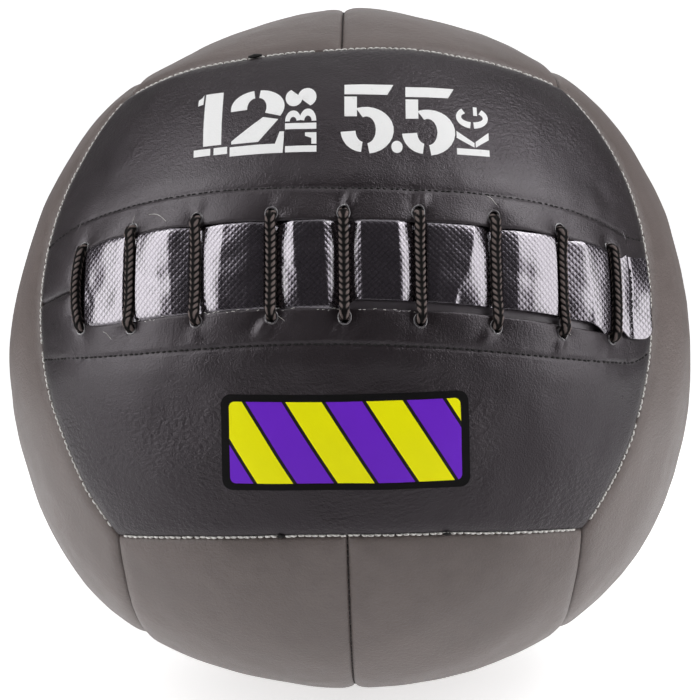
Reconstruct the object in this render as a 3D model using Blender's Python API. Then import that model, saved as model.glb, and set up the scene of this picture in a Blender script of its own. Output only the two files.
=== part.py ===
"""Wall ball: a stuffed bag of twelve sewn panels with a laced filling mouth across its front.

Metres, +Z up, the mouth faces -Y, and the origin is the middle of the spot that the ball rests on.
Every piece is worked out in the ball's own axes, as a direction from its centre and a depth below
its outer surface. An empty then leans the ball back and lifts it onto the floor.
"""
import math

import bmesh
import bpy
import numpy as np

# Overall form of the filled ball
BALL_RADIUS = 0.178
DEPTH_SHARE = 0.943
HEIGHT_SHARE = 0.998
CUSHION_POWER = 2.1
SETTLE = 0.0023
SETTLE_TURN = math.radians(50)
SETTLE_FADE = (math.radians(60), math.radians(95))
FLOOR_PRESS = 0.0042
FLOOR_BLEND = 0.0012
LEAN = math.radians(18.9)

# Where the seams run, as angles seen from the ball's centre
CORNER_AZIMUTH = math.radians(48.7)
CORNER_HEIGHT = math.radians(37.5)
FRONT_HALF_HEIGHT = math.radians(41.4)
FRONT_HALF_WIDTH = math.radians(55.0)
TOP_HALF_WIDTH = math.radians(35.3)

# Sewn shell
SKIN = 0.0016
SEAM_GAP = 0.0004
SEAM_SINK = 0.0019
SEAM_ROLL = 0.006
SEAM_ALLOWANCE = 0.0058
ROLL_SINK_SHARE = 0.15
ROOT_SINK_SHARE = 0.6
PIECE_GAP = 0.00035

# Laced mouth, measured along the front of the ball
MOUTH_WIDTH_SHARE = 0.8484
MOUTH_HALF_HEIGHT = 0.0196
MOUTH_SHIFT = 0.0045
MOUTH_DROP = 0.0025
MOUTH_SLOPE_SHARE = 0.023
MOUTH_END_POWER = 16
MOUTH_ROUND_POWER = 3
MOUTH_END_SHARES = (0.965, 0.99, 1.0)
HEM_EDGE_SINK = 0.0003
HEM_FOLD = 0.0027
HEM_DEPTH = 0.016
HEM_TAPER_SHARE = 0.2
TAPE_THICKNESS = 0.001
TAPE_GAP = 0.0006
TAPE_END_MARGINS = (0.0034, 0.0056)

# Lace and its holes
LACE_RUNS = 9
LACE_RADIUS = 0.0022
LACE_BEND = 0.0029
HOLE_RADIUS = 0.00275
HOLE_INSET = 0.0058
HOLE_END_MARGIN = 0.0093
HOLE_SHIFT = 0.0020
HOLE_EASE_SHARE = 0.06
FIRST_RUN_BOW = 0.0036
LACE_DIP_HALF_HEIGHT = 0.0115
LACE_TAIL = 0.014

# Tongue and lining behind the lacing
TONGUE_THICKNESS = 0.001
TONGUE_TUCK = 0.0027
TONGUE_CUT_BACK = 0.0028
TONGUE_CUT_SHARES = (-0.01, 0.075, 0.76, 0.865)
TONGUE_EDGE_MARGIN = 0.001
TONGUE_VALLEY = 0.0012
TONGUE_PILLOW = 0.0042
TONGUE_PILLOW_POWER = 2.4
TONGUE_ROW_SHARES = (0.8, 0.45)
TONGUE_END_SHARE = 0.975
TONGUE_NECK_MARGIN = 0.0009
TONGUE_TAIL_SHARE = 0.75
TONGUE_TAIL_HALF_HEIGHT = 0.0183
LINING_THICKNESS = 0.001

# Filling
WADDING_GAP = 0.0011
POCKET_FADE = 0.015
CORE_RADIUS = 0.070
BAG_WALL = 0.0012
NECK_RADIUS = 0.0095
NECK_WAIST_RADIUS = 0.0075
NECK_BORE = 0.0025
NECK_LENGTH = 0.017
FRILL_RADIUS = 0.0145
FRILL_LENGTH = 0.008
TIE_RADIUS = 0.0015
TIE_GAP = 0.00045
TIE_TURNS = 2
NECK_POCKET_LENGTH = 0.031
NECK_POCKET_ANGLES = (math.radians(14), math.radians(26))

# Mesh density, as counts
PANEL_CELLS = (12, 5)
REST_PANEL_CELLS = (18, 7)
FRONT_ROWS = 4
HOLE_SIDES = 10
CORE_SIDES = 16
TIE_STEPS = 14

FRONT_RADIUS = BALL_RADIUS * DEPTH_SHARE
MOUTH_HALF_LENGTH = MOUTH_WIDTH_SHARE * FRONT_HALF_WIDTH * FRONT_RADIUS
HOLE_HALF_SPREAD = MOUTH_HALF_LENGTH - HOLE_END_MARGIN
DOWN = np.array((0.0, math.sin(LEAN), -math.cos(LEAN)))

# Layers at the mouth, as depths below the ball's outer surface
TAPE_DEPTH = SKIN + TAPE_GAP
TONGUE_DEPTH = max(HEM_FOLD, TAPE_DEPTH + TAPE_THICKNESS) + PIECE_GAP
LINING_DEPTH = TONGUE_DEPTH + TONGUE_THICKNESS + PIECE_GAP
BEND_INSIDE = LACE_BEND - LACE_RADIUS - PIECE_GAP
OUTER_BEND_DEPTH = BEND_INSIDE
INNER_BEND_DEPTH = LINING_DEPTH + LINING_THICKNESS - BEND_INSIDE
LACE_OVER_DEPTH = OUTER_BEND_DEPTH - LACE_BEND
LACE_DIP_DEPTH = TONGUE_DEPTH - TONGUE_VALLEY - PIECE_GAP - LACE_RADIUS
LACE_BEHIND_DEPTH = INNER_BEND_DEPTH + LACE_BEND
WADDING_DEPTH = SEAM_ALLOWANCE + WADDING_GAP
POCKET_DEPTH = LACE_BEHIND_DEPTH + LACE_RADIUS + 3.0 * PIECE_GAP
POCKET_HALF_ANGLE = (MOUTH_HALF_HEIGHT + HOLE_INSET + MOUTH_DROP + POCKET_FADE) / FRONT_RADIUS


def smooth(value, low, high):
    """0 below low, 1 above high, and an S-shaped rise between."""
    share = np.clip((value - low) / (high - low), 0.0, 1.0)
    return share * share * (3.0 - 2.0 * share)


def unit(vectors):
    return vectors / np.linalg.norm(vectors, axis=-1, keepdims=True)


def direction(azimuth, height):
    """Direction from the ball's centre; azimuth 0 looks out of the mouth, along -Y."""
    azimuth, height = np.broadcast_arrays(azimuth, height)
    level = np.cos(height)
    return np.stack((np.sin(azimuth) * level, -np.cos(azimuth) * level, np.sin(height)), axis=-1)


def free_radius(way):
    """Radius of the slightly cube-like ball, with the slump that its weight gives its lower half."""
    shares = np.array((1.0, DEPTH_SHARE, HEIGHT_SHARE))
    cushion = (np.abs(way / shares) ** CUSHION_POWER).sum(axis=-1) ** (-1.0 / CUSHION_POWER)
    from_floor = np.arccos(np.clip(way @ DOWN, -1.0, 1.0))
    slump = SETTLE * np.cos(np.pi * from_floor / SETTLE_TURN)
    return BALL_RADIUS * cushion - slump * (1.0 - smooth(from_floor, *SETTLE_FADE))


CENTRE_HEIGHT = float(free_radius(DOWN)) - FLOOR_PRESS


def ball_radius(way):
    """Free radius, pressed flat where it would pass through the floor, with a rounded rim."""
    free = free_radius(way)
    floor = CENTRE_HEIGHT / np.maximum(way @ DOWN, 0.1)
    near = np.clip(1.0 - np.abs(free - floor) / FLOOR_BLEND, 0.0, 1.0)
    return np.minimum(free, floor) - near * near * FLOOR_BLEND / 4.0


def at_depth(way, depth):
    """Points at a depth below the ball's outer surface, along the way from its centre."""
    return way * (ball_radius(way) - depth)[..., None]


def add_object(name, mesh, material):
    obj = bpy.data.objects.new(name, mesh)
    bpy.context.scene.collection.objects.link(obj)
    obj.parent = ball_axes
    if material:
        mesh.materials.append(material)
    return obj


def add_mesh(name, points, faces, material=None, crease=math.radians(40)):
    """A closed mesh from points and faces, its faces turned outwards and shaded smooth."""
    mesh = bpy.data.meshes.new(name)
    mesh.from_pydata(np.asarray(points).tolist(), [], faces)
    bm = bmesh.new()
    bm.from_mesh(mesh)
    bmesh.ops.recalc_face_normals(bm, faces=bm.faces)
    if bm.calc_volume(signed=True) < 0:
        bmesh.ops.reverse_faces(bm, faces=bm.faces)
    bm.to_mesh(mesh)
    bm.free()
    mesh.shade_smooth()
    mesh.set_sharp_from_angle(angle=crease)
    return add_object(name, mesh, material)


def grid_faces(first, columns, rows):
    """Quads of a grid of vertices counted row by row within each column, starting at index first."""
    faces = []
    for column in range(columns - 1):
        for row in range(rows - 1):
            corner = first + column * rows + row
            faces.append((corner, corner + rows, corner + rows + 1, corner + 1))
    return faces


def rim_order(columns, rows):
    """Indices of a grid's outer vertices, in order round it."""
    near = [column * rows for column in range(columns)]
    right = [(columns - 1) * rows + row for row in range(1, rows)]
    far = [column * rows + rows - 1 for column in range(columns - 2, -1, -1)]
    left = [row for row in range(rows - 2, 0, -1)]
    return near + right + far + left


def ring_faces(one, other):
    """Quads between two closed loops of as many vertices."""
    count = len(one)
    return [(one[i], one[(i + 1) % count], other[(i + 1) % count], other[i]) for i in range(count)]


# Seams

def small_arc(start, middle, end, share):
    """Points at shares along the circle on the unit sphere that passes through three directions."""
    start, middle, end = (unit(np.asarray(way, float)) for way in (start, middle, end))
    axis = unit(np.cross(middle - start, end - start))
    hub = axis * (start @ axis)
    radius = np.linalg.norm(start - hub)
    across = (start - hub) / radius
    along = np.cross(axis, across)
    turn = np.arctan2((end - hub) @ along, (end - hub) @ across) % (2.0 * np.pi)
    angle = (turn * np.asarray(share))[..., None]
    return hub + radius * (np.cos(angle) * across + np.sin(angle) * along)


def corner(side, depth, height):
    way = direction(CORNER_AZIMUTH, CORNER_HEIGHT)
    return np.array((side * way[0], -depth * way[1], height * way[2]))


def front_seam_middle(depth, height):
    return np.array((0.0, depth * math.cos(FRONT_HALF_HEIGHT), height * math.sin(FRONT_HALF_HEIGHT)))


def side_seam_middle(side, depth):
    return np.array((side * math.sin(FRONT_HALF_WIDTH), depth * math.cos(FRONT_HALF_WIDTH), 0.0))


def top_seam_middle(side, height):
    return np.array((side * math.sin(TOP_HALF_WIDTH), 0.0, height * math.cos(TOP_HALF_WIDTH)))


def panel_edges(middle_start, middle, middle_end, corner_start, outer, corner_end, mirror):
    """Four seams of a half face: its middle seam, its outer seam and half of each end seam."""
    flip = np.ones(3)
    flip[mirror] = -1.0
    return (
        lambda share: small_arc(middle_start, middle, middle_end, share),
        lambda share: small_arc(corner_start, outer, corner_end, share),
        lambda share: small_arc(corner_start * flip, middle_start, corner_start, 0.5 + share / 2.0),
        lambda share: small_arc(corner_end * flip, middle_end, corner_end, 0.5 + share / 2.0),
    )


def patch_ways(edges, along, across):
    """Coons patch: directions spread between four seams that meet at their ends."""
    near, far, left, right = edges
    u = along[:, None, None]
    v = across[None, :, None]
    near_points = near(along)[:, None, :]
    far_points = far(along)[:, None, :]
    left_points = left(across)[None, :, :]
    right_points = right(across)[None, :, :]
    ends = np.array((0.0, 1.0))
    (near_0, near_1), (far_0, far_1) = near(ends), far(ends)
    blend = (1 - v) * near_points + v * far_points + (1 - u) * left_points + u * right_points
    corners = (1 - u) * (1 - v) * near_0 + u * (1 - v) * near_1 + (1 - u) * v * far_0 + u * v * far_1
    return unit(blend - corners)


def seam_lengths(edges):
    """Mean length of the two long seams, and of the two end seams, on the ball."""
    steps = np.linspace(0.0, 1.0, 33)
    lengths = [np.linalg.norm(np.diff(edge(steps), axis=0), axis=1).sum() * BALL_RADIUS for edge in edges]
    return (lengths[0] + lengths[1]) / 2.0, (lengths[2] + lengths[3]) / 2.0


def even_lines(length, cells):
    """Grid lines across a panel: both edges, a line one seam roll in from each, and even cells between."""
    edge = SEAM_GAP / 2.0 / length
    roll = SEAM_ROLL / length
    return np.concatenate(([edge], np.linspace(roll, 1.0 - roll, cells + 1), [1.0 - edge]))


def sewn_panel(name, edges, along, across, material, sink=None, allowance=None):
    """A skin between four seams, its edges drawn in and turned inwards as seam allowances.

    sink and allowance give the drop and the depth of the turned edge for each line along the near seam.
    """
    length_along, length_across = seam_lengths(edges)
    columns, rows = len(along), len(across)
    sink = np.full(columns, SEAM_SINK) if sink is None else sink
    allowance = np.full(columns, SEAM_ALLOWANCE) if allowance is None else allowance
    drop = np.full((columns, rows), 0.0)
    drop[1:-1, 1] = ROLL_SINK_SHARE * sink[1:-1]
    drop[1:-1, -2] = ROLL_SINK_SHARE * SEAM_SINK
    drop[(1, -2), 1:-1] = ROLL_SINK_SHARE * SEAM_SINK
    drop[:, 0] = sink
    drop[:, -1] = SEAM_SINK
    drop[(0, -1), :] = SEAM_SINK
    turned = np.full((columns, rows), SEAM_ALLOWANCE)
    turned[:, 0] = allowance
    inner_along = along.copy()
    inner_across = across.copy()
    inner_along[0] += SKIN / length_along
    inner_along[-1] -= SKIN / length_along
    inner_across[0] += SKIN / length_across
    inner_across[-1] -= SKIN / length_across
    outer_ways = patch_ways(edges, along, across).reshape(-1, 3)
    inner_ways = patch_ways(edges, inner_along, inner_across).reshape(-1, 3)
    rim = rim_order(columns, rows)
    inner_drop = SKIN + drop
    inner_drop.reshape(-1)[rim] = SKIN + ROOT_SINK_SHARE * drop.reshape(-1)[rim]
    points = np.concatenate((
        at_depth(outer_ways, drop.reshape(-1)),
        at_depth(inner_ways, inner_drop.reshape(-1)),
        at_depth(outer_ways[rim], turned.reshape(-1)[rim]),
        at_depth(inner_ways[rim], turned.reshape(-1)[rim]),
    ))
    count = columns * rows
    outer_rim = rim
    inner_rim = [count + index for index in rim]
    fold_outer = [2 * count + index for index in range(len(rim))]
    fold_inner = [2 * count + len(rim) + index for index in range(len(rim))]
    faces = grid_faces(0, columns, rows) + grid_faces(count, columns, rows)
    faces += ring_faces(outer_rim, fold_outer)
    faces += ring_faces(fold_outer, fold_inner)
    faces += ring_faces(fold_inner, inner_rim)
    return add_mesh(name, points, faces, material)


def add_plain_panels():
    """The ten grey panels: two halves each of the top, the bottom, the two sides and the back."""
    for height, word in ((1, "top"), (-1, "bottom")):
        for side, half in ((-1, "left"), (1, "right")):
            edges = panel_edges(
                front_seam_middle(-1, height), np.array((0.0, 0.0, float(height))), front_seam_middle(1, height),
                corner(side, -1, height), top_seam_middle(side, height), corner(side, 1, height), 0)
            cells = REST_PANEL_CELLS if word == "bottom" else PANEL_CELLS
            add_even_panel(word + "_" + half + "_panel", edges, cells)
    for side, word in ((-1, "left"), (1, "right")):
        for depth, half in ((-1, "front"), (1, "back")):
            edges = panel_edges(
                top_seam_middle(side, 1), np.array((float(side), 0.0, 0.0)), top_seam_middle(side, -1),
                corner(side, depth, 1), side_seam_middle(side, depth), corner(side, depth, -1), 1)
            add_even_panel(word + "_" + half + "_panel", edges, PANEL_CELLS)
    for height, half in ((1, "upper"), (-1, "lower")):
        edges = panel_edges(
            side_seam_middle(-1, 1), np.array((0.0, 1.0, 0.0)), side_seam_middle(1, 1),
            corner(-1, 1, height), front_seam_middle(1, height), corner(1, 1, height), 2)
        add_even_panel("back_" + half + "_panel", edges, PANEL_CELLS)


def add_even_panel(name, edges, cells):
    length_along, length_across = seam_lengths(edges)
    along = even_lines(length_along, cells[0])
    across = even_lines(length_across, cells[1])
    sewn_panel(name, edges, along, across, GREY_VINYL)


# Mouth

def mouth_share(azimuth):
    """Place along the mouth: 0 at its middle, -1 and 1 at its ends."""
    return (azimuth - MOUTH_SHIFT / FRONT_RADIUS) * FRONT_RADIUS / MOUTH_HALF_LENGTH


def mouth_azimuth(share):
    return (share * MOUTH_HALF_LENGTH + MOUTH_SHIFT) / FRONT_RADIUS


def mouth_middle(azimuth):
    """Height angle of the mouth's middle line, which runs into the face's middle seam at both ends."""
    slope = MOUTH_SLOPE_SHARE * (azimuth - MOUTH_SHIFT / FRONT_RADIUS)
    outside = smooth(np.abs(mouth_share(azimuth)), 1.0, FRONT_HALF_WIDTH * FRONT_RADIUS / MOUTH_HALF_LENGTH)
    return -(MOUTH_DROP / FRONT_RADIUS + slope) * (1.0 - outside)


def mouth_half(azimuth):
    """Half height of the mouth, as an angle: nearly even, with rounded ends."""
    inside = np.clip(1.0 - np.abs(mouth_share(azimuth)) ** MOUTH_END_POWER, 0.0, 1.0)
    return MOUTH_HALF_HEIGHT / FRONT_RADIUS * inside ** (1.0 / MOUTH_ROUND_POWER)


def hole_azimuths():
    """Azimuths of the lace holes, a little closer together towards the mouth's ends."""
    share = np.linspace(-1.0, 1.0, LACE_RUNS)
    eased = share * (1.0 + HOLE_EASE_SHARE * (1.0 - share ** 2))
    return (HOLE_SHIFT + HOLE_HALF_SPREAD * eased) / FRONT_RADIUS


def hole_half(azimuth):
    """Height angle from the mouth's middle line to a lace hole."""
    return mouth_half(azimuth) + HOLE_INSET / FRONT_RADIUS


def run_lines():
    """Azimuths of the lace runs and of the lines halfway between them."""
    runs = hole_azimuths()
    return np.sort(np.concatenate((runs, (runs[1:] + runs[:-1]) / 2.0)))


def add_front_panels():
    """The two black panels, with a hemmed mouth between them where the middle seam is left open."""
    ends = np.array(MOUTH_END_SHARES)
    azimuths = np.concatenate((mouth_azimuth(-ends), run_lines(), mouth_azimuth(ends)))
    for height, name in ((1, "front_upper_panel"), (-1, "front_lower_panel")):
        edges = list(panel_edges(
            side_seam_middle(-1, -1), np.array((0.0, -1.0, 0.0)), side_seam_middle(1, -1),
            corner(-1, -1, height), front_seam_middle(-1, height), corner(1, -1, height), 2))
        length_along, length_across = seam_lengths(edges)
        edge = SEAM_GAP / 2.0 / length_along
        roll = SEAM_ROLL / length_along
        inner = (azimuths / FRONT_HALF_WIDTH + 1.0) / 2.0
        along = np.sort(np.concatenate(([edge, roll], inner, [1.0 - roll, 1.0 - edge])))
        roll_across = SEAM_ROLL / length_across
        hem = HEM_DEPTH / length_across
        across = np.concatenate((
            [SEAM_GAP / 2.0 / length_across, roll_across],
            np.linspace(hem, 1.0 - roll_across, FRONT_ROWS + 1),
            [1.0 - SEAM_GAP / 2.0 / length_across]))

        def near_edge(share, height=height):
            azimuth = (2.0 * np.asarray(share) - 1.0) * FRONT_HALF_WIDTH
            return direction(azimuth, mouth_middle(azimuth) + height * mouth_half(azimuth))

        edges[0] = near_edge
        lines = (2.0 * along - 1.0) * FRONT_HALF_WIDTH
        open_here = np.abs(mouth_share(lines)) < 1.0
        sink = np.where(open_here, HEM_EDGE_SINK, SEAM_SINK)
        allowance = np.where(open_here, HEM_FOLD, SEAM_ALLOWANCE)
        panel = sewn_panel(name, edges, along, across, BLACK_VINYL, sink, allowance)
        cut_holes(panel, height)


def add_hole_cutters(height, name):
    """One round cutter for each lace hole on one side of the mouth, in a single guide object."""
    bm = bmesh.new()
    for azimuth in hole_azimuths():
        way = direction(azimuth, mouth_middle(azimuth) + height * hole_half(azimuth))
        out = unit(way)
        side = unit(np.cross(out, np.array((0.0, 0.0, 1.0))))
        up = np.cross(side, out)
        turns = np.arange(HOLE_SIDES) * 2.0 * np.pi / HOLE_SIDES
        ring = HOLE_RADIUS * (np.cos(turns)[:, None] * side + np.sin(turns)[:, None] * up)
        floor = way * (float(ball_radius(way)) - TONGUE_DEPTH) + ring
        lid = way * (float(ball_radius(way)) + TONGUE_DEPTH) + ring
        low = [bm.verts.new(point) for point in floor]
        high = [bm.verts.new(point) for point in lid]
        bm.faces.new(low)
        bm.faces.new(high)
        for step in range(HOLE_SIDES):
            after = (step + 1) % HOLE_SIDES
            bm.faces.new((low[step], low[after], high[after], high[step]))
    bmesh.ops.recalc_face_normals(bm, faces=bm.faces)
    mesh = bpy.data.meshes.new(name)
    bm.to_mesh(mesh)
    bm.free()
    cutter = add_object(name, mesh, None)
    cutter.hide_render = True
    cutter.display_type = 'WIRE'
    return cutter


def cut_holes(obj, height):
    cutter = hole_cutters[height]
    cut = obj.modifiers.new("lace_holes", 'BOOLEAN')
    cut.operation = 'DIFFERENCE'
    cut.object = cutter
    return obj


def curved_strip(name, azimuths, heights, outer_depth, thickness, material):
    """A closed strip under the ball's surface: heights and outer_depth are tables of column by row."""
    columns, rows = heights.shape
    ways = direction(np.broadcast_to(azimuths[:, None], heights.shape), heights).reshape(-1, 3)
    depth = np.broadcast_to(outer_depth, heights.shape).reshape(-1)
    points = np.concatenate((at_depth(ways, depth), at_depth(ways, depth + thickness)))
    count = columns * rows
    rim = rim_order(columns, rows)
    faces = grid_faces(0, columns, rows) + grid_faces(count, columns, rows)
    faces += ring_faces(rim, [count + index for index in rim])
    return add_mesh(name, points, faces, material)


def add_hem_tapes():
    """Tapes sewn behind the two hems, from the folded edge to the stitched line; the lace goes through both."""
    lines = run_lines()
    before, after = TAPE_END_MARGINS
    ends = (lines[0] - before / FRONT_RADIUS, lines[-1] + after / FRONT_RADIUS)
    azimuths = np.sort(np.concatenate((lines, ends)))
    near = mouth_half(azimuths) + (SKIN + TAPE_GAP) / FRONT_RADIUS
    taper = 1.0 - HEM_TAPER_SHARE * (azimuths / FRONT_HALF_WIDTH) ** 4
    far = mouth_half(azimuths) + HEM_DEPTH * taper / FRONT_RADIUS
    for height, name in ((1, "upper_hem_tape"), (-1, "lower_hem_tape")):
        rows = np.stack((near, (near + far) / 2.0, far), axis=1)
        heights = mouth_middle(azimuths)[:, None] + height * rows
        tape = curved_strip(name, azimuths, heights, TAPE_DEPTH, TAPE_THICKNESS, HEM_TAPE)
        cut_holes(tape, height)


def pillow_rise(azimuths):
    """How far the tongue bulges out: a valley under each lace run and a pillow between two runs."""
    runs = hole_azimuths()
    place = np.interp(azimuths, runs, np.arange(LACE_RUNS))
    return TONGUE_VALLEY + (TONGUE_PILLOW - TONGUE_VALLEY) * np.sin(np.pi * place) ** 2


def add_tongue():
    """Coated-mesh strip under the lacing; its right end comes out of the mouth and lies on the panels."""
    runs = hole_azimuths()
    quarter = (runs[1:] - runs[:-1]) / 4.0
    inside = np.concatenate([runs[:-1] + quarter * step for step in range(4)] + [runs[-1:]])
    left_end = mouth_azimuth(-TONGUE_END_SHARE)
    rise_start = runs[-1] + (LACE_RADIUS + PIECE_GAP) / FRONT_RADIUS
    mouth_end = mouth_azimuth(1.0)
    rise_end = (rise_start + 2.0 * mouth_end) / 3.0
    tail_end = mouth_end + TONGUE_TAIL_SHARE * (FRONT_HALF_WIDTH - mouth_end)
    outside = np.array((rise_start, (rise_start + rise_end) / 2.0, rise_end, mouth_end,
                        (mouth_end + tail_end) / 2.0, tail_end))
    azimuths = np.sort(np.concatenate(([left_end], inside, outside)))
    edge = mouth_half(azimuths) * FRONT_RADIUS
    cut_start, cut_full, cut_back, cut_end = TONGUE_CUT_SHARES
    place = mouth_share(azimuths)
    cut = smooth(place, cut_start, cut_full) * (1.0 - smooth(place, cut_back, cut_end))
    out = smooth(azimuths, rise_start, rise_end)
    neck = edge - TONGUE_NECK_MARGIN
    tucked = azimuths <= rise_start - LACE_RADIUS / FRONT_RADIUS
    upper = np.where(tucked, edge + TONGUE_TUCK, neck)
    lower = np.where(tucked, edge + TONGUE_TUCK - cut * (TONGUE_TUCK + TONGUE_CUT_BACK), neck)
    free = azimuths >= mouth_end
    upper = np.where(free, TONGUE_TAIL_HALF_HEIGHT, upper)
    lower = np.where(free, TONGUE_TAIL_HALF_HEIGHT, lower)
    upper_pillow = np.minimum(edge, upper) - TONGUE_EDGE_MARGIN
    lower_pillow = np.minimum(edge, lower) - TONGUE_EDGE_MARGIN
    upper_pillow = np.where(free, upper - TONGUE_EDGE_MARGIN, upper_pillow)
    lower_pillow = np.where(free, lower - TONGUE_EDGE_MARGIN, lower_pillow)
    shares = (1.0,) + TONGUE_ROW_SHARES
    rows = [-lower] + [-lower_pillow * share for share in shares] + [0.0 * upper]
    rows += [upper_pillow * share for share in reversed(shares)] + [upper]
    rises = [0.0] + [1.0 - share ** TONGUE_PILLOW_POWER for share in shares] + [1.0]
    rises += [1.0 - share ** TONGUE_PILLOW_POWER for share in reversed(shares)] + [0.0]
    heights = mouth_middle(azimuths)[:, None] + np.stack(rows, axis=1) / FRONT_RADIUS
    bulge = pillow_rise(azimuths) * (1.0 - out)
    resting = TONGUE_DEPTH + (-PIECE_GAP - TONGUE_THICKNESS - TONGUE_DEPTH) * out
    depth = resting[:, None] - bulge[:, None] * np.array(rises)
    return curved_strip("lace_tongue", azimuths, heights, depth, TONGUE_THICKNESS, COATED_MESH)


def add_lining():
    """Plain strip behind the tongue; the lace goes round both as it crosses behind them."""
    runs = run_lines()
    azimuths = np.concatenate(([mouth_azimuth(-TONGUE_END_SHARE)], runs))
    full = mouth_half(azimuths) + TONGUE_TUCK / FRONT_RADIUS
    heights = mouth_middle(azimuths)[:, None] + full[:, None] * np.linspace(-1.0, 1.0, 5)
    return curved_strip("mouth_lining", azimuths, heights, LINING_DEPTH, LINING_THICKNESS, LINING_VINYL)


# Lace

def front_point(azimuth, offset, depth):
    """Point at an azimuth, an offset along the front from the mouth's middle line, and a depth."""
    way = direction(azimuth, mouth_middle(azimuth) + offset / FRONT_RADIUS)
    return at_depth(way, np.asarray(depth, float))


def lace_route():
    """Points of the one lace: up over the tongue, in through the upper hole, down behind, and out again."""
    runs = hole_azimuths()
    reach = hole_half(runs) * FRONT_RADIUS
    edge = mouth_half(runs) * FRONT_RADIUS
    turn = np.radians((0.0, 30.0, 60.0, 90.0))
    points = []

    def bend(azimuth, offset, ahead, side, centre_depth, outward, backwards):
        """Quarter turn between a hole and a run that leaves it in the direction (side, ahead)."""
        sign = -1.0 if outward else 1.0
        order = turn[::-1] if backwards else turn
        for angle in order:
            along = LACE_BEND * (1.0 - math.cos(angle))
            depth = centre_depth + sign * LACE_BEND * math.sin(angle)
            points.append(front_point(azimuth + side * along / FRONT_RADIUS, offset + ahead * along, depth))

    for index, azimuth in enumerate(runs):
        half = reach[index]
        if index == 0:
            start = -half + LACE_BEND + LACE_TAIL
            points.append(front_point(azimuth, start, LACE_BEHIND_DEPTH))
            points.append(front_point(azimuth, (start - half + LACE_BEND) / 2.0, LACE_BEHIND_DEPTH))
            bend(azimuth, -half, 1.0, 0.0, INNER_BEND_DEPTH, False, True)
        bend(azimuth, -half, 1.0, 0.0, OUTER_BEND_DEPTH, True, False)
        level = half - LACE_BEND
        for share in (-0.78, -0.45, 0.0, 0.45, 0.78):
            offset = share * level
            dip = 1.0 - smooth(abs(offset), LACE_DIP_HALF_HEIGHT, edge[index])
            bow = 0.0
            if index == 0:
                dip = 0.0
                bow = FIRST_RUN_BOW * (1.0 - share ** 2) / FRONT_RADIUS
            depth = LACE_OVER_DEPTH + dip * (LACE_DIP_DEPTH - LACE_OVER_DEPTH)
            points.append(front_point(azimuth - bow, offset, depth))
        bend(azimuth, half, -1.0, 0.0, OUTER_BEND_DEPTH, True, True)
        if index == LACE_RUNS - 1:
            bend(azimuth, half, -1.0, 0.0, INNER_BEND_DEPTH, False, False)
            end = half - LACE_BEND - LACE_TAIL
            points.append(front_point(azimuth, (end + half - LACE_BEND) / 2.0, LACE_BEHIND_DEPTH))
            points.append(front_point(azimuth, end, LACE_BEHIND_DEPTH))
            continue
        following = runs[index + 1]
        rise = -(half + reach[index + 1])
        across = (following - azimuth) * FRONT_RADIUS
        length = math.hypot(rise, across)
        bend(azimuth, half, rise / length, across / length, INNER_BEND_DEPTH, False, False)
        for share in (0.35, 0.65):
            points.append(front_point(
                azimuth + share * (following - azimuth), half + share * rise, LACE_BEHIND_DEPTH))
        bend(following, -reach[index + 1], -rise / length, -across / length, INNER_BEND_DEPTH, False, True)
    return np.array(points)


def least_gap(points, radius, apart):
    """Least free gap between stretches of a tube that lie farther apart along it than apart."""
    steps = np.linspace(0.0, 1.0, 4, endpoint=False)
    dense = np.concatenate([points[:-1] + (points[1:] - points[:-1]) * step for step in steps])
    order = np.argsort(np.concatenate([np.arange(len(points) - 1) + step for step in steps]))
    dense = dense[order]
    run = np.concatenate(([0.0], np.cumsum(np.linalg.norm(np.diff(dense, axis=0), axis=1))))
    distance = np.linalg.norm(dense[:, None, :] - dense[None, :, :], axis=2)
    distance[np.abs(run[:, None] - run[None, :]) < apart] = np.inf
    return float(distance.min()) - 2.0 * radius


def add_tube(name, points, radius, material):
    curve = bpy.data.curves.new(name, 'CURVE')
    curve.dimensions = '3D'
    curve.bevel_depth = radius
    curve.bevel_resolution = 1
    curve.use_fill_caps = True
    spline = curve.splines.new('POLY')
    spline.points.add(len(points) - 1)
    for point, place in zip(spline.points, points):
        point.co = (*place, 1.0)
    return add_object(name, curve, material)


def add_lace():
    points = lace_route()
    length = np.linalg.norm(np.diff(points, axis=0), axis=1).sum()
    gap = least_gap(points, LACE_RADIUS, math.pi * 2.0 * LACE_BEND)
    print("lace length %.3f m, least gap to itself %.2f mm" % (length, gap * 1000.0))
    return add_tube("lace", points, LACE_RADIUS, BRAIDED_CORD)


# Filling

def wadding_depth(way):
    """Depth of the stuffing below the surface, with a shallow pocket behind the mouth for the lacing."""
    azimuth = np.arctan2(way[..., 0], -way[..., 1])
    height = np.arcsin(np.clip(way[..., 2], -1.0, 1.0))
    above = 1.0 - smooth(np.abs(height), POCKET_HALF_ANGLE, POCKET_HALF_ANGLE + POCKET_FADE / FRONT_RADIUS)
    end = 1.0 + 2.0 * MOUTH_SHIFT / MOUTH_HALF_LENGTH
    beside = 1.0 - smooth(np.abs(mouth_share(azimuth)), end, end + POCKET_FADE / MOUTH_HALF_LENGTH)
    return WADDING_DEPTH + (POCKET_DEPTH - WADDING_DEPTH) * above * beside


def core_pocket(way):
    """Radius of the hollow that holds the core, deeper in front for the core bag's neck."""
    from_front = np.arccos(np.clip(-way[..., 1], -1.0, 1.0))
    neck = 1.0 - smooth(from_front, *NECK_POCKET_ANGLES)
    return CORE_RADIUS + BAG_WALL + WADDING_GAP + NECK_POCKET_LENGTH * neck


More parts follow.
